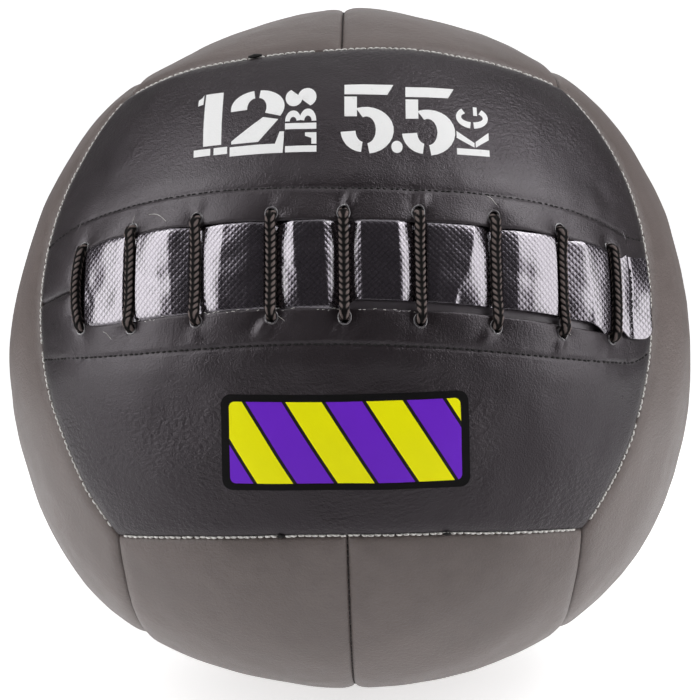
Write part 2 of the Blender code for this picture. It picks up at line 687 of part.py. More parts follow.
def add_stuffing():
    """Two fibre batts that meet on the plane through the ball's centre and close round the core."""
    quarter = math.pi / 2.0
    fade = POCKET_HALF_ANGLE + POCKET_FADE / FRONT_RADIUS
    upper = np.concatenate((np.linspace(0.0, POCKET_HALF_ANGLE, 4), np.linspace(fade, quarter, 5)))
    heights = np.concatenate((-upper[:0:-1], upper))
    wide = (MOUTH_HALF_LENGTH + MOUTH_SHIFT) / FRONT_RADIUS
    half = np.concatenate((np.linspace(0.0, wide, 5), np.linspace(wide + POCKET_FADE / FRONT_RADIUS, quarter, 4)))
    front = np.concatenate((-half[:0:-1], half))
    for name, turned in (("front_stuffing", 0.0), ("back_stuffing", math.pi)):
        columns, rows = len(front), len(heights)
        ways = direction(front[:, None] + turned, heights[None, :])
        ways = ways.reshape(-1, 3)
        outer = at_depth(ways, wadding_depth(ways))
        inner = ways * core_pocket(ways)[:, None]
        away = np.array((0.0, (-1.0 if turned == 0.0 else 1.0) * PIECE_GAP, 0.0))
        points = np.concatenate((outer, inner)) + away
        count = columns * rows
        rim = rim_order(columns, rows)
        faces = grid_faces(0, columns, rows) + grid_faces(count, columns, rows)
        faces += ring_faces(rim, [count + index for index in rim])
        add_welded(name, points, faces, WADDING)


def add_welded(name, points, faces, material):
    """A mesh whose rows close at shared points, such as poles, with those points merged."""
    mesh = bpy.data.meshes.new(name)
    mesh.from_pydata(np.asarray(points).tolist(), [], faces)
    bm = bmesh.new()
    bm.from_mesh(mesh)
    bmesh.ops.remove_doubles(bm, verts=bm.verts, dist=SEAM_GAP / 100.0)
    bmesh.ops.dissolve_degenerate(bm, edges=bm.edges, dist=SEAM_GAP / 100.0)
    bmesh.ops.recalc_face_normals(bm, faces=bm.faces)
    if bm.calc_volume(signed=True) < 0:
        bmesh.ops.reverse_faces(bm, faces=bm.faces)
    bm.to_mesh(mesh)
    bm.free()
    mesh.shade_smooth()
    mesh.set_sharp_from_angle(angle=math.radians(40))
    return add_object(name, mesh, material)


def turned_piece(name, profile, material):
    """A closed piece turned about the neck's axis, from (radius, place along -Y) pairs pole to pole."""
    bm = bmesh.new()
    verts = [bm.verts.new((radius, -place, 0.0)) for radius, place in profile]
    edges = [bm.edges.new(pair) for pair in zip(verts[:-1], verts[1:])]
    bmesh.ops.spin(
        bm, geom=verts + edges, cent=(0.0, 0.0, 0.0), axis=(0.0, 1.0, 0.0),
        angle=2.0 * math.pi, steps=CORE_SIDES, use_merge=True)
    bmesh.ops.remove_doubles(bm, verts=bm.verts, dist=SEAM_GAP / 100.0)
    bmesh.ops.recalc_face_normals(bm, faces=bm.faces)
    if bm.calc_volume(signed=True) < 0:
        bmesh.ops.reverse_faces(bm, faces=bm.faces)
    mesh = bpy.data.meshes.new(name)
    bm.to_mesh(mesh)
    bm.free()
    mesh.shade_smooth()
    mesh.set_sharp_from_angle(angle=math.radians(40))
    return add_object(name, mesh, material)


def sphere_profile(radius, neck_radius, steps=10):
    """Half circle from the pole behind to the edge of a neck of the given radius."""
    stop = math.asin(neck_radius / radius)
    turns = np.linspace(math.pi, stop, steps)
    return [(radius * math.sin(turn) if step else 0.0, radius * math.cos(turn)) for step, turn in enumerate(turns)]


def add_core():
    """Sand in a tough round bag, whose gathered neck is tied off with two turns of cord."""
    bag_radius = CORE_RADIUS + BAG_WALL
    outer = sphere_profile(bag_radius, NECK_RADIUS)
    shoulder = outer[-1][1]
    waist = shoulder + NECK_LENGTH / 2.0
    tip = shoulder + NECK_LENGTH + FRILL_LENGTH
    inner = sphere_profile(CORE_RADIUS, NECK_BORE)
    profile = outer + [(NECK_WAIST_RADIUS, waist - TIE_RADIUS * 3.0), (NECK_WAIST_RADIUS, waist + TIE_RADIUS * 3.0)]
    profile += [(NECK_RADIUS, shoulder + NECK_LENGTH), (FRILL_RADIUS, tip), (FRILL_RADIUS - BAG_WALL, tip)]
    profile += [(NECK_BORE, shoulder + NECK_LENGTH)] + inner[::-1]
    turned_piece("core_bag", profile, CORE_SHEET)
    fill_radius = CORE_RADIUS - PIECE_GAP
    fill = sphere_profile(fill_radius, NECK_BORE)
    turned_piece("core_fill", fill + [(0.0, fill[-1][1])], SAND)
    ring = NECK_WAIST_RADIUS + TIE_RADIUS + PIECE_GAP
    pitch = 2.0 * TIE_RADIUS + TIE_GAP
    steps = np.arange(TIE_TURNS * TIE_STEPS + 1) / TIE_STEPS
    turns = steps * 2.0 * np.pi
    along = waist + (steps - TIE_TURNS / 2.0) * pitch
    points = np.stack((ring * np.cos(turns), -along, ring * np.sin(turns)), axis=1)
    print("core tie, least gap between turns %.2f mm" % (least_gap(points, TIE_RADIUS, math.pi * ring) * 1000.0))
    add_tube("core_tie", points, TIE_RADIUS, BRAIDED_CORD)


def add_material(name, colour, roughness, metallic=0.0):
    material = bpy.data.materials.new(name)
    material.use_nodes = True
    shader = material.node_tree.nodes["Principled BSDF"]
    shader.inputs["Base Color"].default_value = (*colour, 1.0)
    shader.inputs["Roughness"].default_value = roughness
    shader.inputs["Metallic"].default_value = metallic
    return material


def stand_on_origin():
    """Moves the leaned ball so that the middle of the bottom of its box is the origin."""
    bpy.context.view_layer.update()
    graph = bpy.context.evaluated_depsgraph_get()
    corners = []
    for obj in bpy.data.objects:
        if obj.type in {'MESH', 'CURVE'} and not obj.hide_render:
            solid = obj.evaluated_get(graph)
            mesh = solid.to_mesh()
            points = np.empty(len(mesh.vertices) * 3)
            mesh.vertices.foreach_get("co", points)
            turned = points.reshape(-1, 3) @ np.array(obj.matrix_world.to_3x3()).T + obj.matrix_world.translation
            corners += [turned.min(axis=0), turned.max(axis=0)]
            solid.to_mesh_clear()
    low, high = np.min(corners, axis=0), np.max(corners, axis=0)
    ball_axes.location = (-(low[0] + high[0]) / 2.0, -(low[1] + high[1]) / 2.0, -low[2])


for old in list(bpy.data.objects):
    bpy.data.objects.remove(old)

BLACK_VINYL = add_material("black_vinyl", (0.055, 0.046, 0.050), 0.45)
GREY_VINYL = add_material("grey_vinyl", (0.165, 0.140, 0.135), 0.5)
COATED_MESH = add_material("coated_mesh", (0.022, 0.020, 0.023), 0.2)
LINING_VINYL = add_material("lining_vinyl", (0.12, 0.105, 0.12), 0.5)
BRAIDED_CORD = add_material("braided_cord", (0.075, 0.062, 0.058), 0.75)
HEM_TAPE = add_material("hem_tape", (0.03, 0.03, 0.03), 0.85)
WADDING = add_material("wadding", (0.62, 0.60, 0.56), 0.95)
CORE_SHEET = add_material("core_sheet", (0.35, 0.36, 0.38), 0.5)
SAND = add_material("sand", (0.45, 0.37, 0.27), 0.9)

ball_axes = bpy.data.objects.new("ball_axes", None)
bpy.context.scene.collection.objects.link(ball_axes)
ball_axes.rotation_euler = (-LEAN, 0.0, 0.0)

hole_cutters = {1: add_hole_cutters(1, "upper_hole_cutter"), -1: add_hole_cutters(-1, "lower_hole_cutter")}
add_front_panels()
add_plain_panels()
add_hem_tapes()
add_tongue()
add_lining()
add_lace()
add_stuffing()
add_core()
stand_on_origin()
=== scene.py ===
# %% [markdown]
# # A laced wall ball
# A wall ball is a soft, heavy ball that is thrown up at a wall and caught again. Its shell is sewn
# from twelve panels of coated cloth, two to each face of a rounded cube. The two black panels in
# front leave a long mouth between them, where the ball is filled, and a braided cord laces it shut.
# The first cell loads the measured solids as a fixed frame. Everything below is built round them.

# %% The frame
import math

import bmesh
import bpy
import numpy as np
from mathutils import Matrix


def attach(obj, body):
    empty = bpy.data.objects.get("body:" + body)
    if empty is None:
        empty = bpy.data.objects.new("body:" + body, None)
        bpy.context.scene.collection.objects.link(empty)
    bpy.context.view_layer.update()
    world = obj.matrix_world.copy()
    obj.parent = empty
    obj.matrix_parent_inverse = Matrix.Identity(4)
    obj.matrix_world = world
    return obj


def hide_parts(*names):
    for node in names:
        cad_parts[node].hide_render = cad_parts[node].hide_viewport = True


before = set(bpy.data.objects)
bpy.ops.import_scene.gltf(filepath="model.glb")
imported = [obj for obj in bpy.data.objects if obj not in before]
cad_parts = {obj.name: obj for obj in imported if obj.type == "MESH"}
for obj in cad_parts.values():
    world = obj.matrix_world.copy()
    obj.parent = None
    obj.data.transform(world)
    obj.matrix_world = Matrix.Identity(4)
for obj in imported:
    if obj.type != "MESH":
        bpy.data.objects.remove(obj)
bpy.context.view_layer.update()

# %% [markdown]
# A stuffed ball is never a true sphere. The panels pull it towards a cube, its weight makes the
# lower half slump, and the floor presses a flat patch under it. One formula gives the radius in any
# direction, so that every later piece, from a panel to a single stitch, can be placed by a
# direction and a height above that radius. It works on whole arrays of directions at once.

# %% The form of the filled ball
MM = 0.001
BALL_RADIUS = 0.178
DEPTH_SHARE = 0.943
FRONT_RADIUS = BALL_RADIUS * DEPTH_SHARE
BALL_SHARES = np.array((1.0, DEPTH_SHARE, 0.998))
CUSHION_POWER = 2.1
SLUMP = 2.3 * MM
SLUMP_WAVE = math.radians(50)
SLUMP_FADE = (math.radians(60), math.radians(95))
LEAN = math.radians(18.9)
DOWN = np.array((0.0, math.sin(LEAN), -math.cos(LEAN)))
# Middle of the ball, in metres, when its flat spot lies on the floor at the origin
CENTRE = np.array((0.0, 0.000035, 0.171507))
FLOOR_BLEND = 1.2 * MM
SWELL_WAVES = 20


def smooth(value, low, high):
    """0 below low, 1 above high, and an S-shaped rise between."""
    share = np.clip((value - low) / (high - low), 0.0, 1.0)
    return share * share * (3.0 - 2.0 * share)


def bell(value, width):
    """1 at zero, falling away on both sides within about twice the width."""
    return np.exp(-(value / width) ** 2)


def unit(vectors):
    """Vectors of the same directions and of length 1."""
    return vectors / np.linalg.norm(vectors, axis=-1, keepdims=True)


def direction(azimuth, height):
    """Direction from the ball's centre. Azimuth 0, height 0 looks out of the middle of the front face."""
    azimuth, height = np.broadcast_arrays(azimuth, height)
    level = np.cos(height)
    return np.stack((np.sin(azimuth) * level, -np.cos(azimuth) * level, np.sin(height)), axis=-1)


def azimuth_of(way):
    """Angle to the right of the middle of the front face, seen from the front."""
    return np.arctan2(way[..., 0], -way[..., 1])


def height_of(way):
    """Angle above the level through the ball's middle."""
    return np.arcsin(np.clip(way[..., 2], -1.0, 1.0))


def ripple(way, wavelength, seed):
    """Soft random swell on the ball: the sum of plane waves that cross it in all directions."""
    draw = np.random.default_rng(seed)
    waves = unit(draw.normal(size=(SWELL_WAVES, 3))) * (2.0 * math.pi * BALL_RADIUS / wavelength)
    phases = draw.uniform(0.0, 2.0 * math.pi, SWELL_WAVES)
    return np.cos(way @ waves.T + phases).sum(axis=-1) / math.sqrt(SWELL_WAVES / 2.0)


def swells(way, rows):
    """Sum of ripples, from rows of rise in millimetres, wavelength in metres and random seed."""
    return sum(rise * ripple(way, wavelength, seed) for rise, wavelength, seed in rows) * MM


# Lumps of the filling: azimuth, height and spread in degrees, and rise in millimetres
LUMPS = ((79, -4, 10, -0.9), (75, 10, 10, -1.5), (70, 24, 10, -0.8), (63, 38, 10, 1.7), (52, 50, 10, 0.5),
         (32, 59, 10, -1.3), (3, 64, 10, 1.9), (-28, 60, 10, -1.6), (-48, 51, 10, -3.2),
         (-60, 39, 10, 0.2), (-67, 26, 10, -1.5), (-73, 12, 10, -2.1), (-77, -2, 10, 1.0),
         (-80, -17, 10, 0.6), (-82, -31, 10, -0.2), (-85, -46, 10, 0.2), (-88, -60, 10, -0.5),
         (-92, -75, 10, -1.0), (-152, -88, 10, 0.6), (95, -76, 10, -1.1), (90, -61, 10, -1.4),
         (85, -32, 10, 1.2), (82, -18, 10, 0.8))


def lumps(way):
    """Rise of the filling's own lumps: one bell shape round each listed direction."""
    rise = 0.0
    for azimuth, height, spread, swell in LUMPS:
        middle = direction(math.radians(azimuth), math.radians(height))
        angle = np.arccos(np.clip(way @ middle, -1.0, 1.0))
        rise = rise + swell * MM * bell(angle, math.radians(spread))
    return rise


def ball_radius(way):
    """Radius of the cube-like ball with its slump and lumps, cut flat by the floor with a soft rim."""
    cushion = (np.abs(way / BALL_SHARES) ** CUSHION_POWER).sum(axis=-1) ** (-1.0 / CUSHION_POWER)
    from_floor = np.arccos(np.clip(way @ DOWN, -1.0, 1.0))
    slump = SLUMP * np.cos(np.pi * from_floor / SLUMP_WAVE) * (1.0 - smooth(from_floor, *SLUMP_FADE))
    free = BALL_RADIUS * cushion - slump + lumps(way)
    floor = CENTRE[2] / np.maximum(way @ DOWN, 0.1)
    near = np.clip(1.0 - np.abs(free - floor) / FLOOR_BLEND, 0.0, 1.0)
    return np.minimum(free, floor) - near * near * FLOOR_BLEND / 4.0


def turn_about_x(angle):
    """The three axes as rows, turned about the first: the second tips towards the third."""
    cosine, sine = math.cos(angle), math.sin(angle)
    return np.array(((1.0, 0.0, 0.0), (0.0, cosine, sine), (0.0, -sine, cosine)))


def stand(points):
    """Turns points from the ball's own axes to the room: leaned back, and pressed flat on the floor."""
    stood = points @ turn_about_x(LEAN).T + CENTRE
    stood[..., 2] = np.maximum(stood[..., 2], 0.0)
    return stood


def at_depth(way, depth):
    """Points at a depth below the ball's surface, still in the ball's own axes."""
    return way * (ball_radius(way) - depth)[..., None]


# %% [markdown]
# Materials come next. Coated cloth, braid and thread are all told apart by their grain and gloss, so
# each finish is a small graph of nodes. To keep such graphs readable, shader sums are written as
# plain Python: a Wire wraps a socket, and + - * / and abs on wires add Math nodes.

# %% Shader maths as Python
class Wire:
    """A shader socket that Python's own signs can be used on."""

    def __init__(self, paint, socket):
        self.paint = paint
        self.socket = socket

    def math(self, operation, *others):
        return self.paint.node("ShaderNodeMath", dict(enumerate(others)), operation=operation)

    def __add__(self, other):
        return self.math("ADD", self, other)

    def __sub__(self, other):
        return self.math("SUBTRACT", self, other)

    def __rsub__(self, other):
        return self.math("SUBTRACT", other, self)

    def __mul__(self, other):
        return self.math("MULTIPLY", self, other)

    def __truediv__(self, other):
        return self.math("DIVIDE", self, other)

    def __abs__(self):
        return self.math("ABSOLUTE", self)

    def fraction(self):
        return self.math("FRACT", self)

    def sine(self):
        return self.math("SINE", self)

    def above(self, other):
        return self.math("GREATER_THAN", self, other)

    def step(self, low, high):
        """0 below low, 1 above high, and a smooth rise between."""
        values = {"Value": self, "From Min": low, "From Max": high}
        return self.paint.node("ShaderNodeMapRange", values, interpolation_type="SMOOTHSTEP")

    __radd__ = __add__
    __rmul__ = __mul__


class Paint:
    """One finish: a Principled shader, and the nodes that feed it."""

    def __init__(self, name):
        self.material = bpy.data.materials.new(name)
        self.material.use_nodes = True
        self.tree = self.material.node_tree
        self.shader = self.tree.nodes["Principled BSDF"]

    def plug(self, socket, value):
        if isinstance(value, Wire):
            self.tree.links.new(value.socket, socket)
        elif socket.type == "RGBA":
            socket.default_value = (*value, 1.0)
        else:
            socket.default_value = value

    def node(self, kind, sockets, out=0, **settings):
        """Adds a node: its settings first, then a value or a wire for each named socket."""
        added = self.tree.nodes.new(kind)
        for name, value in settings.items():
            setattr(added, name, value)
        for name, value in sockets.items():
            self.plug(added.inputs[name], value)
        return Wire(self, added.outputs[out])

    def noise(self, where, scale, detail=2.0):
        return self.node("ShaderNodeTexNoise", {"Vector": where, "Scale": scale, "Detail": detail})

    def mix(self, factor, one, other):
        """Colour between one and other."""
        return self.node("ShaderNodeMix", {0: factor, 6: one, 7: other}, out=2, data_type="RGBA")

    def place(self):
        return self.node("ShaderNodeTexCoord", {}, out="Object")

    def stretched(self, where, *factors):
        return self.node("ShaderNodeVectorMath", {0: where, 1: factors}, operation="MULTIPLY")

    def pebbles(self, where, scale, kind="F1"):
        return self.node("ShaderNodeTexVoronoi", {"Vector": where, "Scale": scale}, feature=kind)

    def attribute(self, name, out="Fac"):
        return self.node("ShaderNodeAttribute", {}, out=out, attribute_name=name)

    def parts_of(self, vector):
        split = self.tree.nodes.new("ShaderNodeSeparateXYZ")
        self.tree.links.new(vector.socket, split.inputs[0])
        return [Wire(self, output) for output in split.outputs]

    def bump(self, height, depth, strength=1.0, below=None):
        """Normals of a relief of the given depth in metres, laid over an earlier one."""
        sockets = {"Height": height, "Distance": depth, "Strength": strength}
        if below is not None:
            sockets["Normal"] = below
        return self.node("ShaderNodeBump", sockets)

    def finish(self, **values):
        for name, value in values.items():
            self.plug(self.shader.inputs[name.replace("_", " ")], value)
        return self.material


# %% [markdown]
# The shell is coated cloth with a fine pebbled grain. Cells of a Voronoi texture, softened with
# noise, give the pebbles, wider noise gives fine wrinkles, and a slower noise shifts the colour and
# the gloss a little, as handling does. Beside the mouth, where the attribute "streak" is 1, upright
# scratches take the wrinkles' place. The panels share one recipe, so the function takes the colours.

# %% Coated cloth
# Scales of noise, in cycles over one metre, from the finest grain to the slow marks of handling
GRAIN_SCALE = 1500.0
PEBBLE_SCALE = 950.0
WRINKLE_SCALE = 640.0
SCUFF_SCALE = 110.0
HANDLING_SCALE = 22.0
WIDE_WRINKLES = (0.65, 0.65, 1.0)
UPRIGHT_SCRATCHES = (1.0, 1.0, 0.28)
SCRATCH_DEPTH = 0.07 * MM
SCUFF_DEPTH = 0.08 * MM
# Heights in metres over which painted shade on the black cloth fades out, going up from the floor
SHADED_BELOW = (0.09, 0.2)


def coated_cloth(name, dark, light, roughness, sheen=(1.0, 1.0, 1.0), wrinkle=0.3 * MM, painted_shade_below=0.0):
    """Cloth between two colours. The last argument says how much painted shade darkens it towards the
    floor.
    """
    paint = Paint(name)
    where = paint.place()
    cells = paint.pebbles(where, PEBBLE_SCALE, "SMOOTH_F1")
    fine = paint.noise(where, GRAIN_SCALE, 3.0)
    scratches = paint.noise(paint.stretched(where, *UPRIGHT_SCRATCHES), GRAIN_SCALE)
    wrinkles = paint.noise(paint.stretched(where, *WIDE_WRINKLES), WRINKLE_SCALE)
    slow = paint.noise(where, HANDLING_SCALE, 3.0)
    scuffs = paint.noise(where, SCUFF_SCALE, 4.0)
    streaks = paint.attribute("streak")
    normal = paint.bump(cells * 0.4 + fine * 1.3, 0.2 * MM)
    normal = paint.bump(scratches * streaks, SCRATCH_DEPTH, 1.0, normal)
    normal = paint.bump(scuffs, SCUFF_DEPTH, 0.6, normal)
    normal = paint.bump(wrinkles * slow.step(0.3, 0.6) * (1.0 - streaks * 0.85), wrinkle, 1.0, normal)
    tone = slow * 0.5 + scuffs * 0.3 + fine * 0.3
    # Painted shade: the colour is darkened on the lower part of the ball, near the floor.
    low = 1.0 - paint.parts_of(where)[2].step(*SHADED_BELOW)
    colour = paint.mix((tone - low * painted_shade_below).step(0.25, 0.85), dark, light)
    gloss = roughness + (scuffs - 0.5) * 0.2 + (slow - 0.5) * 0.1 - streaks * 0.02
    return paint.finish(Base_Color=colour, Roughness=gloss, Normal=normal, Specular_Tint=sheen,
                        Coat_Weight=streaks * 0.2, Coat_Roughness=0.34)


BLACK_VINYL = coated_cloth("black_vinyl", (0.013, 0.010, 0.0115), (0.029, 0.0235, 0.026), 0.35,
                           sheen=(1.0, 0.91, 1.0), wrinkle=0.6 * MM, painted_shade_below=0.5)
GREY_VINYL = coated_cloth("grey_vinyl", (0.101, 0.080, 0.075), (0.162, 0.132, 0.125), 0.44)

# %% [markdown]
# The strip under the lacing is a mesh of flat yarns sealed in glossy plastic. Its yarns cross on the
# slant and raise rows of small lozenges that break up every highlight. Two slanted sine waves over
# the strip's own flat coordinates, kept in the attribute "flat" in millimetres, make them.

# %% Coated mesh
WEAVE_PITCH = 2.9
WEAVE_DEPTH = 0.09 * MM
DENT_DEPTH = 0.9 * MM


def coated_mesh():
    paint = Paint("coated_mesh")
    along, across, _ = paint.parts_of(paint.attribute("flat", "Vector"))
    wobble = paint.noise(paint.place(), 120.0, 2.0) * 0.7
    one = ((along + across + wobble) * (math.pi / WEAVE_PITCH)).sine()
    other = ((along - across + wobble) * (math.pi / WEAVE_PITCH)).sine()
    weave = abs(one * other)
    normal = paint.bump(weave, WEAVE_DEPTH)
    normal = paint.bump(paint.noise(paint.place(), 60.0, 3.0), DENT_DEPTH, 0.6, normal)
    colour = paint.mix(weave, (0.009, 0.007, 0.009), (0.022, 0.018, 0.023))
    gloss = 0.14 + (1.0 - weave) * 0.12 + paint.noise(paint.place(), 300.0, 2.0) * 0.05
    return paint.finish(Base_Color=colour, Roughness=gloss, Normal=normal, IOR=2.2,
                        Coat_Weight=0.3 + weave.step(0.0, 0.35) * 0.7, Coat_Roughness=0.13, Coat_IOR=1.6,
                        Specular_Tint=(0.96, 0.88, 1.0))


COATED_MESH = coated_mesh()

# %% [markdown]
# The other finishes are plainer. Tape is woven, so two crossed families of sine ribs make it. The
# braid's yarns are real geometry, and their material only adds fibres and painted shade in the gaps
# between yarns. Thread has fine slanting plies, and a printed film is nearly even.

# %% Lining, tape, braid, thread and print
TAPE_RIBS = 5200.0
THREAD_PLIES = 2600.0


def plain_lining():
    paint = Paint("lining_vinyl")
    where = paint.place()
    tone = paint.noise(where, 70.0, 3.0)
    colour = paint.mix(tone, (0.120, 0.104, 0.118), (0.190, 0.168, 0.186))
    normal = paint.bump(paint.noise(where, 1300.0, 3.0), 0.08 * MM)
    return paint.finish(Base_Color=colour, Roughness=0.42 + tone * 0.12, Normal=normal)


def woven_tape():
    """Plain woven cloth: two crossed families of sine ribs."""
    paint = Paint("hem_tape")
    x, y, z = paint.parts_of(paint.place())
    ribs = abs((x * TAPE_RIBS).sine() * ((z + y * 0.4) * TAPE_RIBS).sine())
    fuzz = paint.noise(paint.place(), 900.0, 4.0)
    colour = paint.mix(ribs * 0.6 + fuzz * 0.4, (0.012, 0.012, 0.013), (0.045, 0.043, 0.045))
    normal = paint.bump(ribs + fuzz * 0.5, 0.2 * MM)
    return paint.finish(Base_Color=colour, Roughness=0.85, Normal=normal)


def braided_cord():
    """Yarns are told from the gaps between them by the attribute "yarn", 1 on top and 0 in a gap. The gaps
    are coloured nearly black as painted shade.
    """
    paint = Paint("braided_cord")
    yarn = paint.attribute("yarn")
    where = paint.place()
    fibres = paint.noise(where, 3800.0, 4.0)
    shade = paint.noise(where, 420.0)
    top = paint.mix(fibres * 0.6 + shade * 0.4, (0.080, 0.063, 0.060), (0.225, 0.178, 0.168))
    # Painted shade: the gaps between yarns are coloured nearly black.
    colour = paint.mix(yarn.step(0.6, 0.94), (0.003, 0.0022, 0.0022), top)
    return paint.finish(Base_Color=colour, Roughness=0.8 - yarn * 0.15, IOR=1.25,
                        Normal=paint.bump(fibres, 0.12 * MM))


def spun(name, dark, light, roughness):
    """Sewing thread: fine slanting plies and a little fuzz."""
    paint = Paint(name)
    x, y, z = paint.parts_of(paint.place())
    plies = ((x + y + z) * THREAD_PLIES).sine() * 0.5 + 0.5
    fuzz = paint.noise(paint.place(), 2500.0, 3.0)
    colour = paint.mix(plies * 0.6 + fuzz * 0.4, dark, light)
    return paint.finish(Base_Color=colour, Roughness=roughness, Normal=paint.bump(plies, 0.06 * MM))


def film(name, colour, worn, roughness, refraction=1.5):
    """Printed film: nearly even, with the cloth's grain showing faintly through it."""
    paint = Paint(name)
    where = paint.place()
    grain = paint.noise(where, 1100.0, 3.0)
    wear = paint.noise(where, 260.0, 4.0).step(0.62, 0.8) * 0.6
    return paint.finish(Base_Color=paint.mix(wear, colour, worn), Roughness=roughness + grain * 0.1,
                        Normal=paint.bump(grain, 0.05 * MM), IOR=refraction)


LINING = plain_lining()
TAPE = woven_tape()
BRAID = braided_cord()
PALE_THREAD = spun("pale_thread", (0.42, 0.40, 0.38), (0.95, 0.93, 0.90), 0.45)
DARK_THREAD = spun("dark_thread", (0.012, 0.010, 0.010), (0.050, 0.042, 0.040), 0.6)
# Near-black thread, darker than the black cloth: real black thread, and partly painted shade of the pits
# where the stitches sink.
HEM_THREAD = spun("hem_thread", (0.002, 0.002, 0.002), (0.012, 0.010, 0.010), 0.85)
PRINT = film("print_white", (0.84, 0.84, 0.84), (0.60, 0.58, 0.58), 0.42)
print("finishes", len(bpy.data.materials))

# %% [markdown]
# All new pieces are surfaces worked out as arrays. One helper turns points and four-cornered faces
# into a mesh, makes sure that the faces look outwards, and ties the piece to the ball's one body.

# %% Arrays to meshes
def add_object(name, data):
    added = bpy.data.objects.new(name, data)
    bpy.context.scene.collection.objects.link(added)
    return added


def mark_points(mesh, **marks):
    """Keeps a number or a vector at each point, for the piece's material to read."""
    for mark, values in marks.items():
        kind, key = ("FLOAT_VECTOR", "vector") if values.ndim > 1 else ("FLOAT", "value")
        layer = mesh.attributes.new(mark, kind, "POINT")
        layer.data.foreach_set(key, np.ascontiguousarray(values, np.float32).ravel())


def add_piece(name, points, quads, material, slot, node=None, **marks):
    """A piece of the ball, from points in the ball's own axes. It may replace a measured node."""
    points = stand(points)
    corners = points[quads]
    first = np.cross(corners[:, 1] - corners[:, 0], corners[:, 2] - corners[:, 0])
    second = np.cross(corners[:, 2] - corners[:, 0], corners[:, 3] - corners[:, 0])
    middle = corners.mean(axis=1) - points.mean(axis=0)
    if ((first + second) * middle).sum() < 0.0:
        quads = quads[:, ::-1]
    mesh = bpy.data.meshes.new(name)
    mesh.vertices.add(len(points))
    mesh.vertices.foreach_set("co", np.ascontiguousarray(points, np.float32).ravel())
    mesh.loops.add(quads.size)
    mesh.loops.foreach_set("vertex_index", np.ascontiguousarray(quads, np.int32).ravel())
    mesh.polygons.add(len(quads))
    mesh.polygons.foreach_set("loop_start", np.arange(0, quads.size, 4, dtype=np.int32))
    mesh.update(calc_edges=True)
    mesh.shade_smooth()
    mark_points(mesh, **marks)
    mesh.materials.append(material)
    piece = add_object(name, mesh)
    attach(piece, "root")
    if node:
        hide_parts(node)
    print(name, len(quads), "faces")
    return piece


def grid_quads(index):
    """Faces of a grid of point numbers."""
    return np.stack((index[:-1, :-1], index[1:, :-1], index[1:, 1:], index[:-1, 1:]), -1).reshape(-1, 4)


def rim_of(index):
    """Point numbers round a grid's edge, in order."""
    return np.concatenate((index[:-1, 0], index[-1, :-1], index[:0:-1, -1], index[0, :0:-1]))


def shell_quads(columns, rows, loops):
    """Faces of a closed shell: an outer grid, an inner grid, and a wall between with some loops in it."""
    count = columns * rows
    outer = np.arange(count).reshape(columns, rows)
    rim = rim_of(outer)
    rings = [rim] + [2 * count + len(rim) * k + np.arange(len(rim)) for k in range(loops)] + [rim + count]
    faces = [grid_quads(outer), grid_quads(outer + count)[:, ::-1]]
    for one, other in zip(rings[:-1], rings[1:]):
        faces.append(np.stack((np.roll(one, -1), one, other, np.roll(other, -1)), -1))
    return np.concatenate(faces)


def strip_shell(node, azimuths, heights, depth, thickness, material, slot, **marks):
    """A curved strip: a table of heights for each azimuth, a depth for each point, and a thickness."""
    ways = direction(azimuths[:, None], heights)
    outer = at_depth(ways, depth)
    inner = at_depth(ways, depth + thickness)
    rim = rim_of(np.arange(heights.size).reshape(heights.shape))
    middle = (outer.reshape(-1, 3)[rim] + inner.reshape(-1, 3)[rim]) / 2.0
    points = np.concatenate((outer.reshape(-1, 3), inner.reshape(-1, 3), middle))
    twice = {key: np.concatenate((value, value, value[rim])) for key, value in marks.items()}
    quads = shell_quads(*heights.shape, loops=1)
    return add_piece(node + "_strip", points, quads, material, slot, node, **twice)


# %% [markdown]
# ## The seams
# Six faces, each cut in half: twelve panels in three crossing pairs, as on a volleyball. Each seam
# is part of a circle on the ball through two corners and a middle point, so only a few angles,
# measured from the picture, place them all. A panel is spread between its four seams as a Coons
# patch, which is the plain average of the two ways to stretch a sheet between opposite edges.

# %% Seams and patches
CORNER = direction(math.radians(48.7), math.radians(37.5))
FRONT_TOP = math.radians(41.4)
FRONT_SIDE = math.radians(55.0)
TOP_SIDE = math.radians(35.3)


def circle_through(start, middle, end, share):
    """Points at shares along the circle on the unit ball that passes through three directions."""
    axis = unit(np.cross(middle - start, end - start))
    hub = axis * (start @ axis)
    across = start - hub
    along = np.cross(axis, across)
    turn = np.arctan2((end - hub) @ along, (end - hub) @ across) % (2.0 * math.pi)
    angle = (turn * np.asarray(share))[..., None]
    return hub + np.cos(angle) * across + np.sin(angle) * along


def corner(side, depth, height):
    """Where three faces meet. Side -1 is left, depth -1 is in front and height -1 is below."""
    return np.array((side * CORNER[0], -depth * CORNER[1], height * CORNER[2]))


def front_mid(depth, height):
    """Middle of the upper or lower outline of the front or back face."""
    return np.array((0.0, depth * math.cos(FRONT_TOP), height * math.sin(FRONT_TOP)))


def side_mid(side, depth):
    """Middle of the left or right outline of the front or back face."""
    return np.array((side * math.sin(FRONT_SIDE), depth * math.cos(FRONT_SIDE), 0.0))


def top_mid(side, height):
    """Middle of the left or right outline of the top or bottom face."""
    return np.array((side * math.sin(TOP_SIDE), 0.0, height * math.cos(TOP_SIDE)))


def seams_of(ends, middle, corners, outer, mirror):
    """The four seams of half a face: middle seam, outer seam, and half of each end seam."""
    flip = np.ones(3)
    flip[mirror] = -1.0
    return [
        lambda share: circle_through(ends[0], middle, ends[1], share),
        lambda share: circle_through(corners[0], outer, corners[1], share),
        lambda share: circle_through(corners[0] * flip, ends[0], corners[0], 0.5 + share / 2.0),
        lambda share: circle_through(corners[1] * flip, ends[1], corners[1], 0.5 + share / 2.0),
    ]


